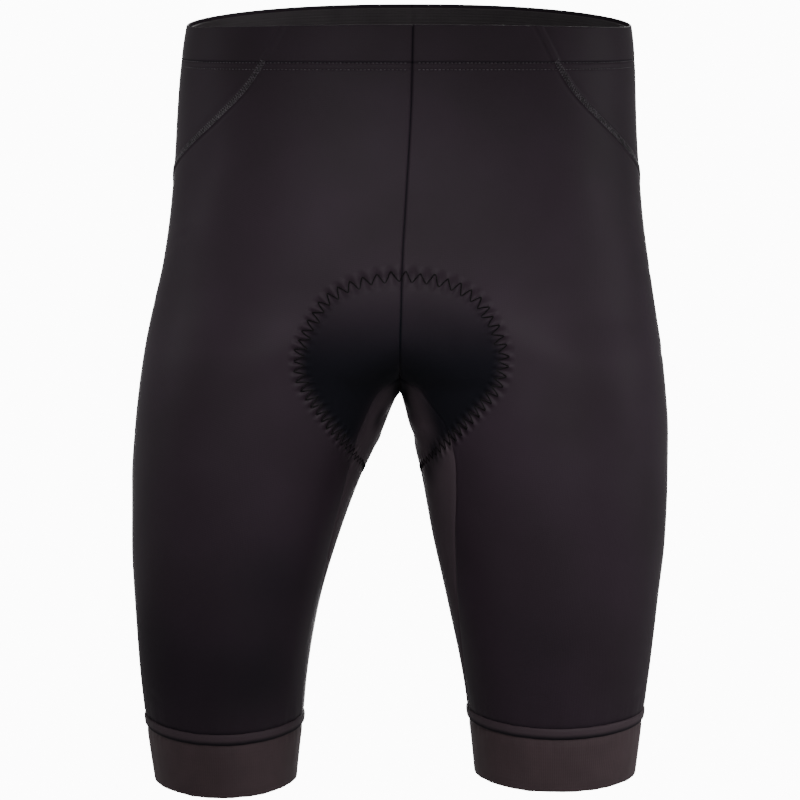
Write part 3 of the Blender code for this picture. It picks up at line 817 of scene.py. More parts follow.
@dataclass(frozen=True)
class WarpKnit(Finish):
    """Nylon and elastane warp-knit, dyed black: close, smooth and faintly lustrous.

    Real wales are about 0.45 mm apart. They are drawn 1.1 mm apart and courses 1.4 mm apart,
    so that they show at all.
    """

    name: str = "warp_knit_nylon_elastane"
    dark: str = "#221b20"
    light: str = "#2d232c"
    # The colour of the painted shade
    deep: str = "#07090f"
    roughness: float = 0.55
    shaded_roughness: float = 0.95
    specular: float = 0.10
    sheen: float = 0.03
    sheen_roughness: float = 0.3
    sheen_tint: str = "#f0dfea"
    wale_mm: float = 1.1
    course_mm: float = 1.4

    def make(self) -> bpy.types.Material:
        """Wales and courses in a fine bump, uneven dye, puckers beside the pad's zigzag, and painted shade."""
        made, tree, shader = self.start()
        plan = add_node(tree, "ShaderNodeUVMap", {}, uv_map="cloth").outputs["UV"]
        place = add_node(tree, "ShaderNodeTexCoord", {}).outputs["Object"]
        wales = add_node(
            tree,
            "ShaderNodeTexWave",
            {"Vector": plan, "Scale": self.wave_scale(self.wale_mm), "Distortion": 0.6},
            wave_type="BANDS",
            bands_direction="X",
        )
        courses = add_node(
            tree,
            "ShaderNodeTexWave",
            {"Vector": plan, "Scale": self.wave_scale(self.course_mm), "Distortion": 0.9},
            wave_type="BANDS",
            bands_direction="Y",
        )
        knit = add_node(
            tree,
            "ShaderNodeMath",
            {0: wales.outputs["Fac"], 1: courses.outputs["Fac"]},
            operation="MULTIPLY",
        )
        cloud = add_node(
            tree, "ShaderNodeTexNoise", {"Vector": place, "Scale": 15.0, "Detail": 2.0}
        )
        fleck = add_node(
            tree, "ShaderNodeTexNoise", {"Vector": place, "Scale": 900.0, "Detail": 1.0}
        )
        dye = add_node(
            tree,
            "ShaderNodeMath",
            {0: cloud.outputs["Fac"], 1: 1.1, 2: -0.15},
            operation="MULTIPLY_ADD",
        )
        uneven = add_node(
            tree,
            "ShaderNodeMath",
            {0: fleck.outputs["Fac"], 1: 0.2, 2: dye.outputs[0]},
            operation="MULTIPLY_ADD",
            use_clamp=True,
        )
        colour = add_node(
            tree,
            "ShaderNodeMix",
            {"Factor": uneven.outputs[0], 6: linear(self.dark), 7: linear(self.light)},
            data_type="RGBA",
        )
        # Painted shade: the shade mark mixes the colour towards deep and makes the face rougher there
        shade = add_node(tree, "ShaderNodeAttribute", {}, attribute_name="shade").outputs["Fac"]
        shaded = add_node(
            tree,
            "ShaderNodeMix",
            {"Factor": shade, 6: colour.outputs[2], 7: linear(self.deep)},
            data_type="RGBA",
        )
        dullness = add_node(
            tree,
            "ShaderNodeMapRange",
            {"Value": shade, "To Min": self.roughness, "To Max": self.shaded_roughness},
        )
        hold = add_node(tree, "ShaderNodeAttribute", {}, attribute_name="pad_hold").outputs["Fac"]
        gap = add_node(tree, "ShaderNodeAttribute", {}, attribute_name="pad_gap").outputs["Fac"]
        run = add_node(tree, "ShaderNodeAttribute", {}, attribute_name="pad_run").outputs["Fac"]
        away = add_node(tree, "ShaderNodeMath", {0: gap}, operation="ABSOLUTE")
        near = add_node(
            tree,
            "ShaderNodeMapRange",
            {"Value": away.outputs[0], "From Min": 2.0, "From Max": 9.0, "To Min": 1.0, "To Max": 0.0},
            interpolation_type="SMOOTHSTEP",
        )
        turned = add_node(tree, "ShaderNodeMath", {0: run, 1: 2 * np.pi}, operation="MULTIPLY")
        beat = add_node(tree, "ShaderNodeMath", {0: turned.outputs[0]}, operation="SINE")
        held = add_node(tree, "ShaderNodeMath", {0: near.outputs[0], 1: hold}, operation="MULTIPLY")
        pucker = add_node(
            tree,
            "ShaderNodeMath",
            {0: beat.outputs[0], 1: held.outputs[0]},
            operation="MULTIPLY",
        )
        puckered = add_node(
            tree,
            "ShaderNodeBump",
            {"Height": pucker.outputs[0], "Strength": 1.0, "Distance": 0.0008},
        )
        bumped = add_node(
            tree,
            "ShaderNodeBump",
            {
                "Height": knit.outputs[0],
                "Strength": 0.4,
                "Distance": 0.00006,
                "Normal": puckered.outputs[0],
            },
        )
        tree.links.new(shaded.outputs[2], shader.inputs["Base Color"])
        tree.links.new(dullness.outputs["Result"], shader.inputs["Roughness"])
        tree.links.new(bumped.outputs[0], shader.inputs["Normal"])
        return made


@dataclass(frozen=True)
class RibElastic(Finish):
    """Ribbed elastic with rubber in it: brownish black and matt, with fine upright ribs.

    Real ribs are about 0.9 mm apart. They are drawn wider, so that they show.
    """

    name: str = "rib_elastic"
    dark: str = "#33282b"
    light: str = "#44363a"
    roughness: float = 0.62
    specular: float = 0.2
    sheen: float = 0.05
    sheen_tint: str = "#f0e4e2"
    rib_mm: float = 1.5
    row_mm: float = 2.6
    upright: bool = True

    def make(self) -> bpy.types.Material:
        """Ribs in the bump and, faintly, in the colour, over a slow unevenness."""
        made, tree, shader = self.start()
        plan = add_node(tree, "ShaderNodeUVMap", {}, uv_map="cloth").outputs["UV"]
        place = add_node(tree, "ShaderNodeTexCoord", {}).outputs["Object"]
        first, second = ("X", "Y") if self.upright else ("Y", "X")
        ribs = add_node(
            tree,
            "ShaderNodeTexWave",
            {"Vector": plan, "Scale": self.wave_scale(self.rib_mm), "Distortion": 0.3},
            wave_type="BANDS",
            bands_direction=first,
        )
        rows = add_node(
            tree,
            "ShaderNodeTexWave",
            {"Vector": plan, "Scale": self.wave_scale(self.row_mm), "Distortion": 0.8},
            wave_type="BANDS",
            bands_direction=second,
        )
        height = add_node(
            tree,
            "ShaderNodeMath",
            {0: rows.outputs["Fac"], 1: 0.35, 2: ribs.outputs["Fac"]},
            operation="MULTIPLY_ADD",
        )
        cloud = add_node(
            tree, "ShaderNodeTexNoise", {"Vector": place, "Scale": 45.0, "Detail": 3.0}
        )
        shade = add_node(
            tree,
            "ShaderNodeMath",
            {0: height.outputs[0], 1: 0.15, 2: cloud.outputs["Fac"]},
            operation="MULTIPLY_ADD",
            use_clamp=True,
        )
        colour = add_node(
            tree,
            "ShaderNodeMix",
            {"Factor": shade.outputs[0], 6: linear(self.dark), 7: linear(self.light)},
            data_type="RGBA",
        )
        bumped = add_node(
            tree,
            "ShaderNodeBump",
            {"Height": height.outputs[0], "Strength": 0.25, "Distance": 0.0001},
        )
        tree.links.new(colour.outputs[2], shader.inputs["Base Color"])
        tree.links.new(bumped.outputs[0], shader.inputs["Normal"])
        return made


@dataclass(frozen=True)
class MicroFleece(Finish):
    """Brushed polyester microfleece over foam: dark grey, soft, with no gloss."""

    name: str = "brushed_microfleece"
    dark: str = "#2b2a2d"
    light: str = "#414044"
    roughness: float = 0.92
    specular: float = 0.2
    sheen: float = 0.35
    sheen_roughness: float = 0.7
    sheen_tint: str = "#d8d6dc"
    pile_mm: float = 1.2

    def make(self) -> bpy.types.Material:
        """A short nap: noise at the size of its tufts in colour and bump."""
        made, tree, shader = self.start()
        place = add_node(tree, "ShaderNodeTexCoord", {}).outputs["Object"]
        nap = add_node(
            tree,
            "ShaderNodeTexNoise",
            {"Vector": place, "Scale": 1 / (self.pile_mm * METRES), "Detail": 2.0},
        )
        cloud = add_node(
            tree, "ShaderNodeTexNoise", {"Vector": place, "Scale": 40.0, "Detail": 2.0}
        )
        shade = add_node(
            tree,
            "ShaderNodeMath",
            {0: nap.outputs["Fac"], 1: cloud.outputs["Fac"]},
            operation="MULTIPLY",
        )
        colour = add_node(
            tree,
            "ShaderNodeMix",
            {"Factor": shade.outputs[0], 6: linear(self.dark), 7: linear(self.light)},
            data_type="RGBA",
        )
        bumped = add_node(
            tree,
            "ShaderNodeBump",
            {"Height": nap.outputs["Fac"], "Strength": 0.8, "Distance": 0.0003},
        )
        tree.links.new(colour.outputs[2], shader.inputs["Base Color"])
        tree.links.new(bumped.outputs[0], shader.inputs["Normal"])
        return made


@dataclass(frozen=True)
class SewingThread(Finish):
    """Textured polyester thread: slightly lustrous, with a twist that breaks up its light."""

    name: str = "sewing_thread"
    dark: str = "#1c181c"
    light: str = "#544e54"
    roughness: float = 0.45
    specular: float = 0.5
    sheen: float = 0.15
    twist_mm: float = 0.9

    def make(self) -> bpy.types.Material:
        """Light and dark specks as small as the thread's twist."""
        made, tree, shader = self.start()
        place = add_node(tree, "ShaderNodeTexCoord", {}).outputs["Object"]
        twist = add_node(
            tree,
            "ShaderNodeTexNoise",
            {"Vector": place, "Scale": 1 / (self.twist_mm * METRES), "Detail": 1.0},
        )
        speck = add_node(
            tree,
            "ShaderNodeMapRange",
            {"Value": twist.outputs["Fac"], "From Min": 0.4, "From Max": 0.65},
        )
        colour = add_node(
            tree,
            "ShaderNodeMix",
            {"Factor": speck.outputs[0], 6: linear(self.dark), 7: linear(self.light)},
            data_type="RGBA",
        )
        tree.links.new(colour.outputs[2], shader.inputs["Base Color"])
        return made


@dataclass(frozen=True)
class MattPaper(Finish):
    """Matt white studio paper."""

    name: str = "studio_paper"
    colour: str = "#f4f3f2"
    roughness: float = 0.95
    specular: float = 0.1

    def make(self) -> bpy.types.Material:
        """Plain white with a trace of grain."""
        made, tree, shader = self.start()
        place = add_node(tree, "ShaderNodeTexCoord", {}).outputs["Object"]
        grain = add_node(tree, "ShaderNodeTexNoise", {"Vector": place, "Scale": 300.0})
        bumped = add_node(
            tree,
            "ShaderNodeBump",
            {"Height": grain.outputs["Fac"], "Strength": 0.05, "Distance": 0.0002},
        )
        shader.inputs["Base Color"].default_value = linear(self.colour)
        tree.links.new(bumped.outputs[0], shader.inputs["Normal"])
        return made


def signed_volume(points: Array, faces: list[Array]) -> float:
    """The volume that closed faces hold: a sixth of a.(b x c) over each fan of triangles."""
    total = 0.0
    for block in faces:
        first = points[block[:, 0]]
        for k in range(1, block.shape[1] - 1):
            crossed = np.cross(points[block[:, k]], points[block[:, k + 1]])
            total += float((first * crossed).sum() / 6)
    return total


def grid_faces(rows: int, columns: int, round_rows: bool, round_columns: bool) -> Array:
    """Quads over a grid of points, joined end to end where it closes on itself."""
    i = np.arange(rows if round_rows else rows - 1)[:, None]
    j = np.arange(columns if round_columns else columns - 1)[None]
    below, right = (i + 1) % rows, (j + 1) % columns
    corners = (i * columns + j, i * columns + right, below * columns + right, below * columns + j)
    return np.stack(np.broadcast_arrays(*corners), -1).reshape(-1, 4)


def wall_faces(rows: int, columns: int) -> list[Array]:
    """Faces of a flat tube: rows close on themselves and both ends of the columns are capped.

    Row 0 is one rim and row rows / 2 the other, so row k faces row rows - k through the wall.
    """
    sides = grid_faces(rows, columns, True, False)
    k = np.arange(1, rows // 2 - 1)
    ladder = np.stack([k, k + 1, rows - k - 1, rows - k], -1)
    half = rows // 2
    tips = np.array([[0, 1, rows - 1], [half - 1, half, half + 1]])
    last = columns - 1
    caps = [ladder * columns, ladder[:, ::-1] * columns + last]
    ends = [tips * columns, tips[:, ::-1] * columns + last]
    return [sides, *caps, *ends]


def add_piece(
    name: str,
    points: Array,
    faces: list[Array],
    finish: bpy.types.Material,
    plan: Array | None = None,
    marks: dict[str, Array] | None = None,
    corner_plan: list[Array] | None = None,
) -> bpy.types.Object:
    """Makes one piece, with its faces outwards, and lets it ride on the one body.

    Args:
        name: The piece.
        points: Its points, in mm.
        faces: Blocks of faces with equal numbers of corners.
        finish: Its material.
        plan: Where each point lies on the flat cloth, in mm.
        marks: Named numbers for each point.
        corner_plan: The same as plan for each corner, where the cloth closes on itself.

    Returns:
        The object.
    """
    if signed_volume(points, faces) < 0:
        faces = [block[:, ::-1] for block in faces]
        if corner_plan is not None:
            corner_plan = [block[:, ::-1] for block in corner_plan]
    mesh = bpy.data.meshes.new(name)
    listed = [face for block in faces for face in block.tolist()]
    mesh.from_pydata((points * METRES).tolist(), [], listed)
    if corner_plan is None and plan is not None:
        corner_plan = [plan[block] for block in faces]
    if corner_plan is not None:
        laid = np.concatenate([block.reshape(-1, 2) for block in corner_plan]) * METRES
        mesh.uv_layers.new(name="cloth").data.foreach_set("uv", laid.ravel().astype(np.float32))
    for mark, values in (marks or {}).items():
        layer = mesh.attributes.new(mark, "FLOAT", "POINT")
        layer.data.foreach_set("value", values.ravel().astype(np.float32))
    mesh.shade_smooth()
    mesh.set_sharp_from_angle(angle=np.radians(55))
    mesh.materials.append(finish)
    made = bpy.data.objects.new(name, mesh)
    bpy.context.scene.collection.objects.link(made)
    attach(made, "root")
    triangles = sum(len(block) * (block.shape[1] - 2) for block in faces)
    LOG.info("%s: %d triangles", name, triangles)
    return made


@dataclass
class Panel:
    """One cut panel of the shell: a thin wall of knit on the form."""

    side: Side
    form: Form
    relief: Relief
    flat: tuple[float, float]
    area: float
    cloth: float = 1.4
    columns: int = 110
    row_mm: float = 2.4
    kind: str = "panel"

    def levels(self) -> Array:
        """Levels of the rows: close at the rims and the rows of stitches, even elsewhere."""
        top, end = -self.form.half_gap, self.form.panel_end + self.form.half_gap
        rim = np.array([0, 0.06, 0.22, 0.45, 0.75, 1.3])
        even = np.arange(top - 2.2, end + 2, -self.row_mm)
        rows = (self.relief.upper_row, self.relief.lower_row)
        near = np.array([-1.6, -1.0, -0.5, 0, 0.5, 1.0, 1.6])
        close = np.concatenate([row + near for row in rows])
        even = even[np.abs(even[:, None] - close).min(1) > 0.45]
        foot = end + np.array([1.4, 0.75, 0.3, 0])
        return np.sort(np.concatenate([top - rim, even, close, foot]))[::-1]

    def grid(self) -> tuple[Array, Array, Array]:
        """Turn, level and whether it is on the centre line, rows by columns."""
        raise NotImplementedError

    def build(self, finish: bpy.types.Material) -> bpy.types.Object:
        """Makes the panel: its outer face sewn and creased, its inner one smooth, its rims round.

        The wall's section is a loop. A face's depth below the outer one near a rim follows a
        quarter circle, r - sqrt(r^2 - (r - d)^2), where d is the distance to the rim.

        Args:
            finish: The knit.

        Returns:
            The panel's object.
        """
        turn, level, on_centre = self.grid()
        rows = len(turn)
        points = self.form.point(self.side, turn, level)
        normal = self.form.normal(self.side, turn, level)
        step = self.form.inward(self.side, turn, level, on_centre)
        pad = self.relief.pad_map(self.side, turn, level, points)
        swelled = points + normal * self.relief.swell(pad, normal)[..., None]
        high = self.relief.height(self.side, turn, level, points, pad)
        down = lengths(points.swapaxes(0, 1)).swapaxes(0, 1)
        half = self.cloth / 2
        rim = np.clip(np.minimum(down, down[-1:] - down), 0, half)
        round_off = half - np.sqrt(np.maximum(half**2 - (half - rim) ** 2, 0))
        outer = swelled + step * (round_off - high)[..., None]
        inner = swelled + step * (self.cloth - round_off)[..., None]
        outer, inner = (
            self.form.keep_clear(self.side, face, level) for face in (outer, inner)
        )
        loop = np.concatenate([outer, inner[-2:0:-1]])
        walk = lengths(points)
        plan = np.stack([walk, -down], -1)
        around = np.concatenate([np.arange(rows), np.arange(rows - 2, 0, -1)])
        seam, _ = self.relief.centre_course(self.side).near(points)
        # Painted shade at the crotch and in the listed patches, carried into the shade mark
        painted_dark = self.relief.crotch_painted_shade(turn, level, seam)
        painted_dark = painted_dark + self.relief.painted_patch_shade(self.side, points)
        marks = {
            "pad_gap": pad.signed[around],
            "pad_run": self.beat(pad)[around],
            "pad_hold": self.relief.hold(turn)[around],
            "shade": self.relief.shade(turn, level, pad, seam, painted_dark)[around],
        }
        name = f"shell_{self.kind}_{self.side.word}"
        made = add_piece(
            name,
            loop.reshape(-1, 3),
            wall_faces(*loop.shape[:2]),
            finish,
            plan[around].reshape(-1, 2),
            marks,
        )
        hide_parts(f"{self.kind}_{self.side.word}")
        return made

    def beat(self, pad: PadMap) -> Array:
        """How many teeth of the zigzag have been passed at each place."""
        return Zigzag.teeth(pad.run, self.form.pad_course(self.side).walk[-1])


@dataclass
class FrontPanel(Panel):
    """The front panel, from the centre or inner seam round to the side seam."""

    kind: str = "front"

    def grid(self) -> tuple[Array, Array, Array]:
        """Turns from the centre or inner seam outwards, on level rows."""
        level = self.levels()
        start = self.form.front_seam(self.side, level)
        turn = self.form.spread(
            self.side, start, SIDE_SEAM.at("turn", level), level, self.columns
        )
        on_centre = np.zeros(turn.shape, bool)
        on_centre[level >= self.form.inner_top, 0] = True
        return turn, np.repeat(level[:, None], self.columns, 1), on_centre


@dataclass
class BackPanel(Panel):
    """The back panel, from the side seam round to the centre back or the inner seam."""

    kind: str = "back"

    def grid(self) -> tuple[Array, Array, Array]:
        """Turns from the side seam to the centre back, on level rows."""
        level = self.levels()
        end = FULL_TURN - self.form.back_seam(level)
        turn = self.form.spread(
            self.side, SIDE_SEAM.at("turn", level), end, level, self.columns
        )
        on_centre = np.zeros(turn.shape, bool)
        on_centre[level >= self.form.inner_top, -1] = True
        return turn, np.repeat(level[:, None], self.columns, 1), on_centre


@dataclass
class InnerPanel(Panel):
    """The inner panel of one leg. Its top edge is the seam under the crotch."""

    kind: str = "inner"
    columns: int = 49

    def grid(self) -> tuple[Array, Array, Array]:
        """Rows that follow the centre line at the top and ease into level rings below."""
        form = self.form
        curve_turn, curve_level, walk = form.centre_curve()
        start = np.interp(form.inner_top, curve_level[240:], walk[240:])
        end = np.interp(form.inner_top, curve_level[240::-1], walk[240::-1])
        top_walk = np.linspace(start, end, self.columns)
        top_level = np.interp(top_walk, walk, curve_level)
        top_turn = np.interp(top_walk, walk, curve_turn)
        foot = form.panel_end + form.half_gap + np.array([1.4, 0.75, 0.3, 0])
        rim = form.inner_top - np.array([0, 0.06, 0.22, 0.45, 0.75, 1.3])
        even = np.arange(form.inner_top - 2.4, foot[0], -self.row_mm)
        level = np.concatenate([rim, even, foot])
        share = (level - form.inner_top) / (form.inner_blend_end - form.inner_top)
        levels = top_level + (form.inner_blend_end - top_level) * share[:, None]
        low = share >= 1
        levels[low] = level[low, None]
        blend = np.linspace(0, 1, self.columns)
        front, back = form.front_seam(self.side, levels), form.back_seam(levels)
        even_turn = -back * (1 - blend) + front * blend
        ease = np.clip(1 - share, 0, 1)[:, None] ** 2
        turn = even_turn + (top_turn - even_turn[0]) * ease
        turn[:, 0], turn[:, -1] = -back[:, 0], front[:, -1]
        on_centre = np.zeros(turn.shape, bool)
        on_centre[0] = True
        return turn, levels, on_centre


def sweep(points: Array, normals: Array, radius: Array | float, sides: int) -> tuple[Array, list[Array]]:
    """Tubes along many lines at once.

    Each ring is a circle of the radius in the plane of the normal and of the tangent crossed
    with it, and each end is closed by one flat face.

    Args:
        points: Lines, as lines by points by 3.
        normals: The cloth's normal at each point.
        radius: The tubes' radius, for each point or for all.
        sides: How many sides a tube has.

    Returns:
        The points, and blocks of faces.
    """
    tangent = unit(np.gradient(points, axis=1))
    upright = unit(normals - (normals * tangent).sum(-1, keepdims=True) * tangent)
    sideways = np.cross(tangent, upright)
    angle = np.arange(sides) / sides * 2 * np.pi
    radius = np.broadcast_to(np.asarray(radius, float), points.shape[:2])[..., None, None]
    ring = np.cos(angle)[:, None] * upright[:, :, None] + np.sin(angle)[:, None] * sideways[:, :, None]
    tubes = points[:, :, None] + radius * ring
    lines, count = points.shape[:2]
    quads = grid_faces(count, sides, False, True)
    start = np.arange(lines)[:, None] * count * sides
    sides_of_all = (quads[None] + start[..., None]).reshape(-1, 4)
    cap = np.arange(sides)
    first = start + cap[::-1]
    last = start + (count - 1) * sides + cap
    return tubes.reshape(-1, 3), [sides_of_all, np.concatenate([first, last])]


def join(parts: list[tuple[Array, list[Array]]]) -> tuple[Array, list[Array]]:
    """Several meshes as one."""
    points, faces, count = [], [], 0
    for own_points, own_faces in parts:
        points.append(own_points)
        faces += [block + count for block in own_faces]
        count += len(own_points)
    return np.concatenate(points), faces


@dataclass(frozen=True)
class Seamline:
    """A line on the sewn cloth that stitches follow, with its own directions."""

    points: Array
    normals: Array

    @classmethod
    def along(cls, relief: Relief, side: Side, turn: Array, level: Array) -> "Seamline":
        """The line through places on the form, on the outer face of the cloth."""
        points = relief.surface(side, turn, level)
        return cls(points, relief.form.normal(side, turn, level))

    @property
    def length(self) -> float:
        """How long the line is, in mm."""
        return float(lengths(self.points)[-1])

    def place(self, walk: Array, across: Array, lift: Array) -> tuple[Array, Array]:
        """Points beside the line and above it, and the cloth's normals there.

        Args:
            walk: Ways along the line.
            across: Distances to the side of it.
            lift: Heights above the cloth.

        Returns:
            Points and normals, in the shape of walk.
        """
        known = lengths(self.points)
        inside = np.clip(walk, 0, known[-1])
        at = np.stack([np.interp(inside, known, self.points[:, k]) for k in range(3)], -1)
        normal = unit(np.stack([np.interp(inside, known, self.normals[:, k]) for k in range(3)], -1))
        forward = unit(np.gradient(self.points, axis=0))
        tangent = unit(np.stack([np.interp(inside, known, forward[:, k]) for k in range(3)], -1))
        sideways = np.cross(normal, tangent)
        moved = at + sideways * np.asarray(across)[..., None] + normal * np.asarray(lift)[..., None]
        return moved, normal


@dataclass(frozen=True)
class RunningStitch:
    """A row of short stitches, each a small tube that dips into the cloth at both ends."""

    pitch: float = 2.7
    length: float = 1.5
    radius: float = 0.30
    lift: float = 0.18
    points: int = 6
    sides: int = 5

    def make(self, line: Seamline, across: float = 0.0) -> tuple[Array, list[Array]]:
        """The stitches along a line. Each one's height is lift - 0.35 (2u - 1)^4 mm."""
        count = int((line.length - self.pitch) / self.pitch)
        start = np.arange(count)[:, None] * self.pitch + self.pitch / 2
        share = np.linspace(0, 1, self.points)[None]
        walk = start + share * self.length
        lift = self.lift - 0.35 * (2 * share - 1) ** 4 + 0 * start
        points, normals = line.place(walk, across + 0 * walk, lift)
        thin = 1 - 0.35 * (2 * share - 1) ** 4 + 0 * start
        return sweep(points, normals, self.radius * thin, self.sides)


@dataclass(frozen=True)
class Flatlock:
    """A flat seam's cover: a looper thread from side to side over the joint, and edge stitches."""

    half_width: float = 1.9
    pitch: float = 1.9
    radius: float = 0.27
    lift: float = 0.16
    steps: int = 8
    sides: int = 5

    def make(self, line: Seamline) -> tuple[Array, list[Array]]:
        """The looper runs as half_width sin(phase), flattened to near a zigzag."""
        count = int(line.length / self.pitch * self.steps)
        walk = np.linspace(0.4, line.length - 0.4, count)
        phase = walk / self.pitch * 2 * np.pi
        across = self.half_width * np.arcsin(0.95 * np.sin(phase)) / np.arcsin(0.95)
        lift = self.lift - 0.12 * np.sin(phase) ** 2
        points, normals = line.place(walk[None], across[None], lift[None])
        looper = sweep(points, normals, self.radius, self.sides)
        edge = RunningStitch(pitch=self.pitch, length=self.pitch * 0.75, radius=0.22, points=4)
        rows = [edge.make(line, across=sign * self.half_width * 0.92) for sign in (-1, 1)]
        return join([looper, *rows])


@dataclass(frozen=True)
class Zigzag:
    """The bold zigzag that sews the pad in, long and open in front and closer at the sides."""

    relief: Relief
    radius: float = 0.5
    lift: float = 0.16
    steps: int = 16
    sides: int = 6

    @staticmethod
    def teeth(run: Array, total: float) -> Array:
        """How many teeth lie before each place: 9.8 mm apart in front, 6.4 mm further on.

        The density 1/6.4 - (1/6.4 - 1/9.8) exp(-(run/60)^2) is summed along the run in steps.
        """
        fine = np.linspace(0, total, 600)
        density = 1 / 6.4 - (1 / 6.4 - 1 / 9.8) * bell(fine, 60)
        passed = np.concatenate([[0], np.cumsum((density[1:] + density[:-1]) / 2 * np.diff(fine))])
        return np.interp(run, fine, passed)

    def make(self, side: Side) -> tuple[Array, list[Array]]:
        """The thread: a pointed wave of 5 to 7.5 mm across the edge, lying in its groove."""
        course = self.relief.form.pad_course(side, 700)
        line = Seamline.along(self.relief, side, course.turn, course.level)
        total = line.length
        count = int(self.teeth(np.array([total]), total)[0] * self.steps)
        even = np.linspace(0, total, 4000)
        walk = np.interp(np.linspace(0, 1, count), self.teeth(even, total) / self.teeth(even, total)[-1], even)
        phase = self.teeth(walk, total) * 2 * np.pi
        hold = np.interp(walk, course.walk / course.walk[-1] * total, self.relief.hold(course.turn))
        uneven = 1 + 0.07 * np.sin(0.31 * walk + side.value) + 0.06 * np.sin(0.83 * walk + 2)
        wide = (3.5 + 0.4 * smooth_step(20, 90, walk)) * (0.4 + 0.6 * hold) * uneven
        across = wide * np.arcsin(0.97 * np.sin(phase)) / np.arcsin(0.97)
        sunk = hold * (self.relief.groove(across) - self.relief.groove(np.zeros(1)))
        points, normals = line.place(walk[None], across[None], (self.lift + sunk)[None])
        return sweep(points, normals, self.radius * (0.35 + 0.65 * hold[None]), self.sides)


@dataclass
class Stitching:
    """All the thread that shows on the shell."""

    form: Form
    relief: Relief

    def waist_rows(self, side: Side) -> tuple[Array, list[Array]]:
        """The two rows under the waistband on one side, from centre front to centre back."""
        rows = []
        for level in (self.relief.upper_row, self.relief.lower_row):
            turn = np.linspace(91, 269, 720)
            line = Seamline.along(self.relief, side, turn, np.full(720, level))
            rows.append(RunningStitch().make(line))
        return join(rows)

    def side_seam(self, side: Side) -> tuple[Array, list[Array]]:
        """The flat side seam of one side, from the waistband to the roll."""
        level = np.linspace(-21.5, self.form.panel_end + 1.5, 900)
        line = Seamline.along(self.relief, side, SIDE_SEAM.at("turn", level), level)
        return Flatlock().make(line)

    def build(
        self, light: bpy.types.Material, middle: bpy.types.Material, dark: bpy.types.Material
    ) -> list[bpy.types.Object]:
        """Makes the rows, the flat seams and the zigzag of both sides."""
        made = []
        for side in Side:
            made.append(add_piece(f"waist_stitches_{side.word}", *self.waist_rows(side), light))
            made.append(add_piece(f"flatlock_{side.word}", *self.side_seam(side), middle))
            zigzag = Zigzag(self.relief).make(side)
            made.append(add_piece(f"pad_zigzag_{side.word}", *zigzag, dark))
        return made


def ring_piece(
    name: str,
    loops: Array,
    down: Array,
    finish: bpy.types.Material,
    marks: dict[str, Array] | None = None,
) -> bpy.types.Object:
    """A piece from loops of points that close round in both directions.

    Args:
        name: The piece.
        loops: Points, round the section by round the leg or waist.
        down: The way walked round the section, one more than it has points.
        finish: Its material.
        marks: Named numbers for each point.

    Returns:
        The object.
    """
    rows, columns = loops.shape[:2]
    closed = np.concatenate([loops, loops[:, :1]], 1)
    walk = lengths(closed).mean(0)
    faces = grid_faces(rows, columns, True, True)
    i, j = (grid.reshape(-1) for grid in np.meshgrid(np.arange(rows), np.arange(columns), indexing="ij"))
    u = np.stack([walk[j], walk[j + 1], walk[j + 1], walk[j]], -1)
    v = np.stack([down[i], down[i], down[i + 1], down[i + 1]], -1)
    plan = np.stack([u, -v], -1)
    return add_piece(name, loops.reshape(-1, 3), [faces], finish, marks=marks, corner_plan=[plan])


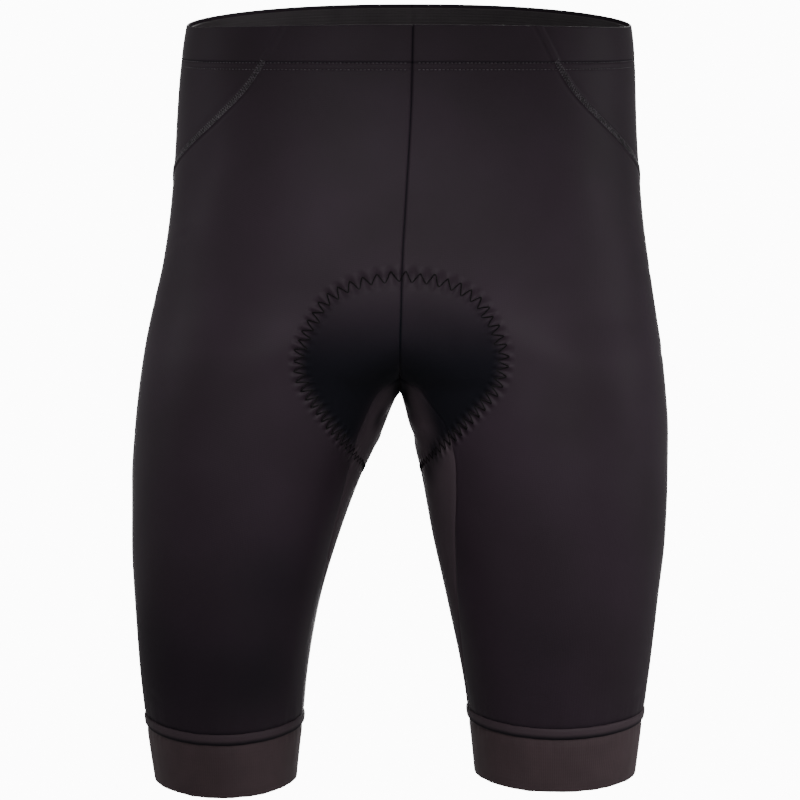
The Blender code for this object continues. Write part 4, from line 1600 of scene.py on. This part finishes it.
@dataclass
class LegEnd:
    """The rolled seam at the end of one leg's panels, and the elastic gripper under it."""

    side: Side
    form: Form
    around: int = 300
    hem: float = -526.0
    roll_height: float = 6.5
    roll_proud: float = 1.0
    gripper_cloth: float = 1.8
    overlap: float = 0.9

    def turns(self, level: Array, count: int) -> Array:
        """Turns round one ring, even along the cloth."""
        fine = np.linspace(0, FULL_TURN, 721)
        walk = lengths(self.form.point(self.side, fine, level))
        return np.interp(np.linspace(0, walk[-1], count + 1)[:-1], walk, fine)

    def uneven(self, turn: Array, shift: float) -> Array:
        """A hand-made unevenness round the leg, from -1 to 1: five waves of odd counts."""
        a = np.radians(turn) + shift + 0.4 * self.side.value
        waves = np.sin(3 * a) + 0.8 * np.sin(7 * a + 1.3) + 0.6 * np.sin(13 * a + 0.4)
        return (waves + 0.5 * np.sin(23 * a + 2.2) + 0.4 * np.sin(31 * a)) / 3.3

    def roll(self, finish: bpy.types.Material) -> bpy.types.Object:
        """The roll: a rounded section with small uneven gathers round it, and painted shade on its lower side."""
        top = self.form.panel_end + self.overlap
        height = self.roll_height + self.overlap
        middle, half = top - height / 2, height / 2
        angle = np.arange(28) / 28 * 2 * np.pi
        up = np.sign(np.sin(angle)) * np.abs(np.sin(angle)) ** 0.75
        out = np.where(np.cos(angle) > 0, np.cos(angle) ** 0.85, 0)
        back = np.where(np.cos(angle) < 0, np.abs(np.cos(angle)) ** 0.6, 0)
        turn = self.turns(middle, self.around)
        wave = self.uneven(turn, 0.3)
        fine = self.uneven(5 * turn, 1.1)
        level = middle + half * up[:, None] + 0.25 * wave
        depth = self.roll_proud * out[:, None] * (1 + 0.10 * wave + 0.12 * fine)
        depth = depth - 1.7 * back[:, None] - 0.3 * (1 - out[:, None])
        points = self.form.point(self.side, turn, level)
        points = points + self.form.normal(self.side, turn, level) * depth[..., None]
        around = lengths(np.concatenate([points, points[:1]]).swapaxes(0, 1)).mean(0)
        # Painted shade: the roll's lower side is darkened through the shade mark
        low = np.repeat(smooth_step(0.05, -0.75, up)[:, None], self.around, 1)
        marks = {"shade": 0.85 * low, "pad_gap": 99.0 + 0 * low}
        made = ring_piece(f"hem_roll_{self.side.word}", points, around, finish, marks)
        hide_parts(f"roll_{self.side.word}")
        return made

    def gripper(self, finish: bpy.types.Material) -> bpy.types.Object:
        """The gripper: an elastic cuff with soft gathers under the roll and a rounded hem."""
        top = self.form.panel_end - self.roll_height + self.overlap
        height, half = top - self.hem, self.gripper_cloth / 2
        share = np.concatenate([
            [0, 0.004, 0.012, 0.025, 0.045], np.linspace(0.08, 0.92, 24), [0.955, 0.975, 0.988, 0.996, 1],
        ])  # fmt: skip
        level = top - height * share
        rim = np.clip(np.minimum(top - level, level - self.hem), 0, half)
        round_off = half - np.sqrt(half**2 - (half - rim) ** 2)
        level = np.concatenate([level, level[-2:0:-1]])[:, None]
        depth = np.concatenate([round_off, self.gripper_cloth - round_off[-2:0:-1]])[:, None]
        turn = self.turns(self.hem, self.around)
        drop = (top - level) / height
        gather = 0.35 * self.uneven(5 * turn, 0.7) * bell(drop, 0.25)
        slack = 0.30 * self.uneven(turn, 1.9) * np.sin(np.pi * drop)
        hem_wave = 0.45 * self.uneven(turn, 2.6) * smooth_step(0.55, 1, drop)
        snug = -0.9 * bell(drop, 0.10)
        points = self.form.point(self.side, turn, level + hem_wave)
        out = gather + slack + snug - depth
        points = points + self.form.normal(self.side, turn, level) * out[..., None]
        around = lengths(np.concatenate([points, points[:1]]).swapaxes(0, 1)).mean(0)
        made = ring_piece(f"leg_gripper_{self.side.word}", points, around, finish)
        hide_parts(f"gripper_{self.side.word}")
        return made


@dataclass
class WaistElastic:
    """The soft elastic inside the waistband."""

    form: Form
    top: float = -2.2
    end: float = -25.5
    behind: float = 1.7
    thick: float = 1.5
    rib_mm: float = 1.9
    rib_rise: float = 0.14
    around: int = 220

    def build(self, finish: bpy.types.Material) -> bpy.types.Object:
        """A ring with level ribs on its inner face and a seam at the centre back."""
        half = self.thick / 2
        fall = np.linspace(0, self.top - self.end, 58)
        rim = np.clip(np.minimum(fall, fall[-1] - fall), 0, half)
        round_off = half - np.sqrt(half**2 - (half - rim) ** 2)
        ribs = self.rib_rise * np.abs(np.sin(np.pi * fall / self.rib_mm)) * (rim > half * 0.9)
        level = np.concatenate([self.top - fall, (self.top - fall)[-2:0:-1]])
        inner = (self.thick - round_off + ribs)[-2:0:-1]
        depth = self.behind + np.concatenate([round_off, inner])
        is_inner = np.arange(len(level)) >= len(fall)
        halves = []
        for side in (Side.LEFT, Side.RIGHT):
            fine = np.linspace(90, 270, 721)
            walk = lengths(self.form.point(side, fine, np.full(721, -14.0)))
            turn = np.interp(np.linspace(0, walk[-1], self.around), walk, fine)
            points = self.form.point(side, turn, level[:, None])
            normal = self.form.normal(side, turn, level[:, None])
            from_back = walk[-1] - np.linspace(0, walk[-1], self.around)
            seam = 0.6 * bell(from_back, 1.1)[None] * is_inner[:, None]
            points = points - normal * (depth[:, None] - seam)[..., None]
            halves.append(points if side is Side.LEFT else points[:, -2:0:-1])
        loops = np.concatenate(halves, 1)
        around = lengths(np.concatenate([loops, loops[:1]]).swapaxes(0, 1)).mean(0)
        made = ring_piece("waistband_elastic", loops, around, finish)
        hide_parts("waist_elastic")
        return made


@dataclass
class SeatPad:
    """The moulded pad: thick foam in the middle, channels beside it, and a thin sewn flange."""

    form: Form
    relief: Relief
    edge_thick: float = 2.2
    core_thick: float = 8.0
    taper: float = 26.0
    cloth: float = 1.4
    gap: float = 1.0
    rows: int = 130
    columns: int = 34

    def build(self, finish: bpy.types.Material) -> bpy.types.Object:
        """Makes the pad behind the cloth.

        Its thickness rises from the flange to the core as 3r^2 - 2r^3 of the distance within
        its edge. A channel along the middle and one down each side are pressed into the face
        that meets the skin, each a bell across and faded at its ends.

        Args:
            finish: The fleece.

        Returns:
            The pad's object.
        """
        form = self.form
        curve_turn, curve_level, walk = form.centre_curve()
        walks = np.linspace(PAD_EDGE.rows[0][0], PAD_EDGE.rows[-1][0], self.rows)[:, None]
        centre = np.interp(walks, walk, curve_turn)
        centre_level = np.interp(walks, walk, curve_level)
        edge_turn, edge_level = PAD_EDGE.at("turn", walks), PAD_EDGE.at("level", walks)
        share = np.linspace(0, 1, self.columns + 1)
        turn = centre + (edge_turn - centre) * share
        level = centre_level + (edge_level - centre_level) * share
        on_centre = np.zeros(turn.shape, bool)
        on_centre[:, 0] = True
        faces = {}
        for side in Side:
            points = form.point(side, turn, level)
            normal = form.normal(side, turn, level)
            step = form.inward(side, turn, level, on_centre)
            place = self.relief.pad_map(side, turn, level, points)
            rise = np.clip(place.gap / self.taper, 0, 1) * place.inside
            thick = self.edge_thick + (self.core_thick - self.edge_thick) * rise**2 * (3 - 2 * rise)
            thick = thick - self.channels(walks, lengths(points), rise)
            swelled = points + normal * self.relief.swell(place, normal)[..., None]
            outer = swelled + step * (self.cloth + self.gap)
            faces[side] = outer, outer + step * thick[..., None]
        outer, inner = (
            np.concatenate([right[:, :0:-1], (left[:, :1] + right[:, :1]) / 2, left[:, 1:]], 1)
            for left, right in zip(faces[Side.LEFT], faces[Side.RIGHT])
        )
        middle = (outer + inner) / 2
        loop = np.concatenate([middle[:1], outer[1:-1], middle[-1:], inner[-2:0:-1]])
        made = add_piece("moulded_seat_pad", loop.reshape(-1, 3), wall_faces(*loop.shape[:2]), finish)
        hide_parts("seat_pad")
        return made

    def channels(self, walks: Array, across: Array, rise: Array) -> Array:
        """How deep the channels are, in mm."""
        middle = 3.0 * bell(across, 5.5) * smooth_step(-120, -80, walks) * smooth_step(150, 110, walks)
        beside = 34 + 12 * smooth_step(-60, 120, walks)
        outer = 2.4 * bell(across - beside, 4.5) * smooth_step(-70, -30, walks)
        return (middle + outer * smooth_step(140, 100, walks)) * rise


@dataclass
class Studio:
    """The floor, the light and the camera."""

    floor_level: float = -1.02
    floor_radius: float = 3.8
    room_glow: float = 0.12
    wall_glow: float = 0.5
    backdrop_glow: float = 12.0
    camera_place: tuple[float, float, float] = (-0.0063, -2.4, -0.263)
    lens: float = 154.3
    sensor: float = 36.0

    def floor(self, finish: bpy.types.Material) -> None:
        """A round pale floor."""
        angle = np.arange(96) / 96 * 2 * np.pi
        rim = np.stack([np.cos(angle), np.sin(angle), 0 * angle], -1) * self.floor_radius
        rim[:, 2] = self.floor_level
        mesh = bpy.data.meshes.new("floor")
        mesh.from_pydata(rim.tolist(), [], [list(range(96))])
        mesh.materials.append(finish)
        made = bpy.data.objects.new("floor", mesh)
        bpy.context.scene.collection.objects.link(made)

    def room(self) -> None:
        """A white room, paler round its walls, with a bright sheet behind the shorts.

        The glow rises as 3t^2 - 2t^3 while the direction nears the horizon, and again while
        it nears the back wall's middle.
        """
        world = bpy.data.worlds.new("white_room")
        world.use_nodes = True
        tree = world.node_tree
        way = add_node(tree, "ShaderNodeTexCoord", {}).outputs["Generated"]
        towards_back = add_node(
            tree, "ShaderNodeVectorMath", {0: way, 1: (0, 1, 0)}, operation="DOT_PRODUCT"
        )
        upward = add_node(tree, "ShaderNodeSeparateXYZ", {0: way}).outputs["Z"]
        height = add_node(tree, "ShaderNodeMath", {0: upward}, operation="ABSOLUTE")
        walls = add_node(
            tree,
            "ShaderNodeMapRange",
            {
                "Value": height.outputs[0],
                "From Min": 0.2,
                "From Max": 0.45,
                "To Min": self.wall_glow,
                "To Max": self.room_glow,
            },
            interpolation_type="SMOOTHSTEP",
        )
        glow = add_node(
            tree,
            "ShaderNodeMapRange",
            {
                "Value": towards_back.outputs["Value"],
                "From Min": 0.95,
                "From Max": 0.984,
                "To Min": walls.outputs["Result"],
                "To Max": self.backdrop_glow,
            },
            interpolation_type="SMOOTHSTEP",
        )
        tree.links.new(glow.outputs["Result"], tree.nodes["Background"].inputs["Strength"])
        tree.nodes["Background"].inputs["Color"].default_value = (1, 1, 1, 1)
        bpy.context.scene.world = world

    def pool(
        self,
        name: str,
        place: tuple[float, float, float],
        aim: tuple[float, float, float],
        angle: float,
        power: float,
    ) -> None:
        """A soft pool of light from a lamp with a snoot, fading evenly to its rim."""
        data = bpy.data.lights.new(name, "SPOT")
        data.energy, data.shadow_soft_size = power, 0.12
        data.spot_size, data.spot_blend = np.radians(angle), 1.0
        made = bpy.data.objects.new(name, data)
        made.location = place
        made.rotation_euler = (Vector(aim) - Vector(place)).to_track_quat("-Z", "Y").to_euler()
        bpy.context.scene.collection.objects.link(made)

    def lamp(self, name: str, place: tuple[float, float, float], size: tuple[float, float], power: float) -> None:
        """A soft rectangular light that faces the middle of the shorts."""
        data = bpy.data.lights.new(name, "AREA")
        data.shape = "RECTANGLE"
        data.size, data.size_y = size
        data.energy = power
        made = bpy.data.objects.new(name, data)
        made.location = place
        aim = Vector((0, 0, -0.27)) - Vector(place)
        made.rotation_euler = aim.to_track_quat("-Z", "Y").to_euler()
        bpy.context.scene.collection.objects.link(made)

    def camera(self) -> None:
        """The camera, level with the middle of the shorts and square to them."""
        data = bpy.data.cameras.new("camera")
        data.lens, data.sensor_width = self.lens, self.sensor
        made = bpy.data.objects.new("camera", data)
        made.location = self.camera_place
        made.rotation_euler = (np.pi / 2, 0, 0)
        bpy.context.scene.collection.objects.link(made)
        bpy.context.scene.camera = made

    def build(self) -> None:
        """Sets up everything round the shorts."""
        self.room()
        self.floor(MattPaper().make())
        self.lamp("key", (0.3, -2.0, 1.3), (1.0, 1.0), 4.2)
        self.lamp("side_left", (1.7, -0.3, 0.15), (0.3, 0.6), 10.0)
        self.lamp("side_right", (-1.6, 0.1, 0.4), (0.3, 0.4), 2.5)
        self.lamp("back", (0.3, 2.3, 1.3), (1.2, 1.0), 24.0)
        self.pool("pool_right", (-0.45, -1.7, 0.45), (-0.1, -0.1, -0.2), 18.0, 54.0)
        self.pool("pool_left", (0.55, -1.8, 0.3), (0.1, -0.1, -0.32), 17.5, 90.0)
        self.pool("pool_middle", (-0.3, -1.8, 0.2), (-0.025, -0.1, -0.15), 9.0, 44.0)
        self.pool("rim_right", (-1.6, -0.2, 0.35), (-0.19, 0.0, -0.2), 16.0, 20.0)
        self.camera()


def main() -> None:
    """Builds the shorts, piece by piece, and the studio round them."""
    logging.basicConfig(level=logging.INFO, format="%(name)s: %(message)s")
    Studio().build()
    form = Form()
    relief = Relief(form, creases=hand_placed_creases())
    knit = WarpKnit().make()
    # A paler copy of the knit for the inner panels, as painted light
    inner_knit_painted_light = WarpKnit(
        name="inner_panel_knit_painted_light", dark="#352d32", light="#443a40", roughness=0.75, specular=0.06
    ).make()
    gripper_elastic = RibElastic(name="gripper_elastic").make()
    waist_elastic = RibElastic(
        name="waist_elastic_tape", dark="#332e31", light="#464144", upright=False
    ).make()
    # A paler copy of the knit for the roll, as painted light
    rolled_knit_painted_light = WarpKnit(name="rolled_knit_painted_light", dark="#32292e", light="#44393f").make()
    light_thread = SewingThread(name="cover_thread").make()
    seam_thread = SewingThread(
        name="flat_seam_thread", dark="#171417", light="#4a444a", twist_mm=1.7
    ).make()
    dark_thread = SewingThread(
        name="zigzag_thread", dark="#040304", light="#0b090b", specular=0.12, sheen=0.0, roughness=0.6
    ).make()
    for side in Side:
        front = FrontPanel(side, form, relief, flat=(0.29, 0.49), area=0.104)
        back = BackPanel(side, form, relief, flat=(0.27, 0.50), area=0.078)
        inner = InnerPanel(side, form, relief, flat=(0.105, 0.245), area=0.0190)
        for panel in (front, back, inner):
            made = panel.build(inner_knit_painted_light if panel is inner else knit)
        leg_end = LegEnd(side, form)
        roll = leg_end.roll(rolled_knit_painted_light)
        cuff = leg_end.gripper(gripper_elastic)
    elastic = WaistElastic(form).build(waist_elastic)
    SeatPad(form, relief).build(MicroFleece().make())
    Stitching(form, relief).build(light_thread, seam_thread, dark_thread)


if __name__ == "__main__":
    main()
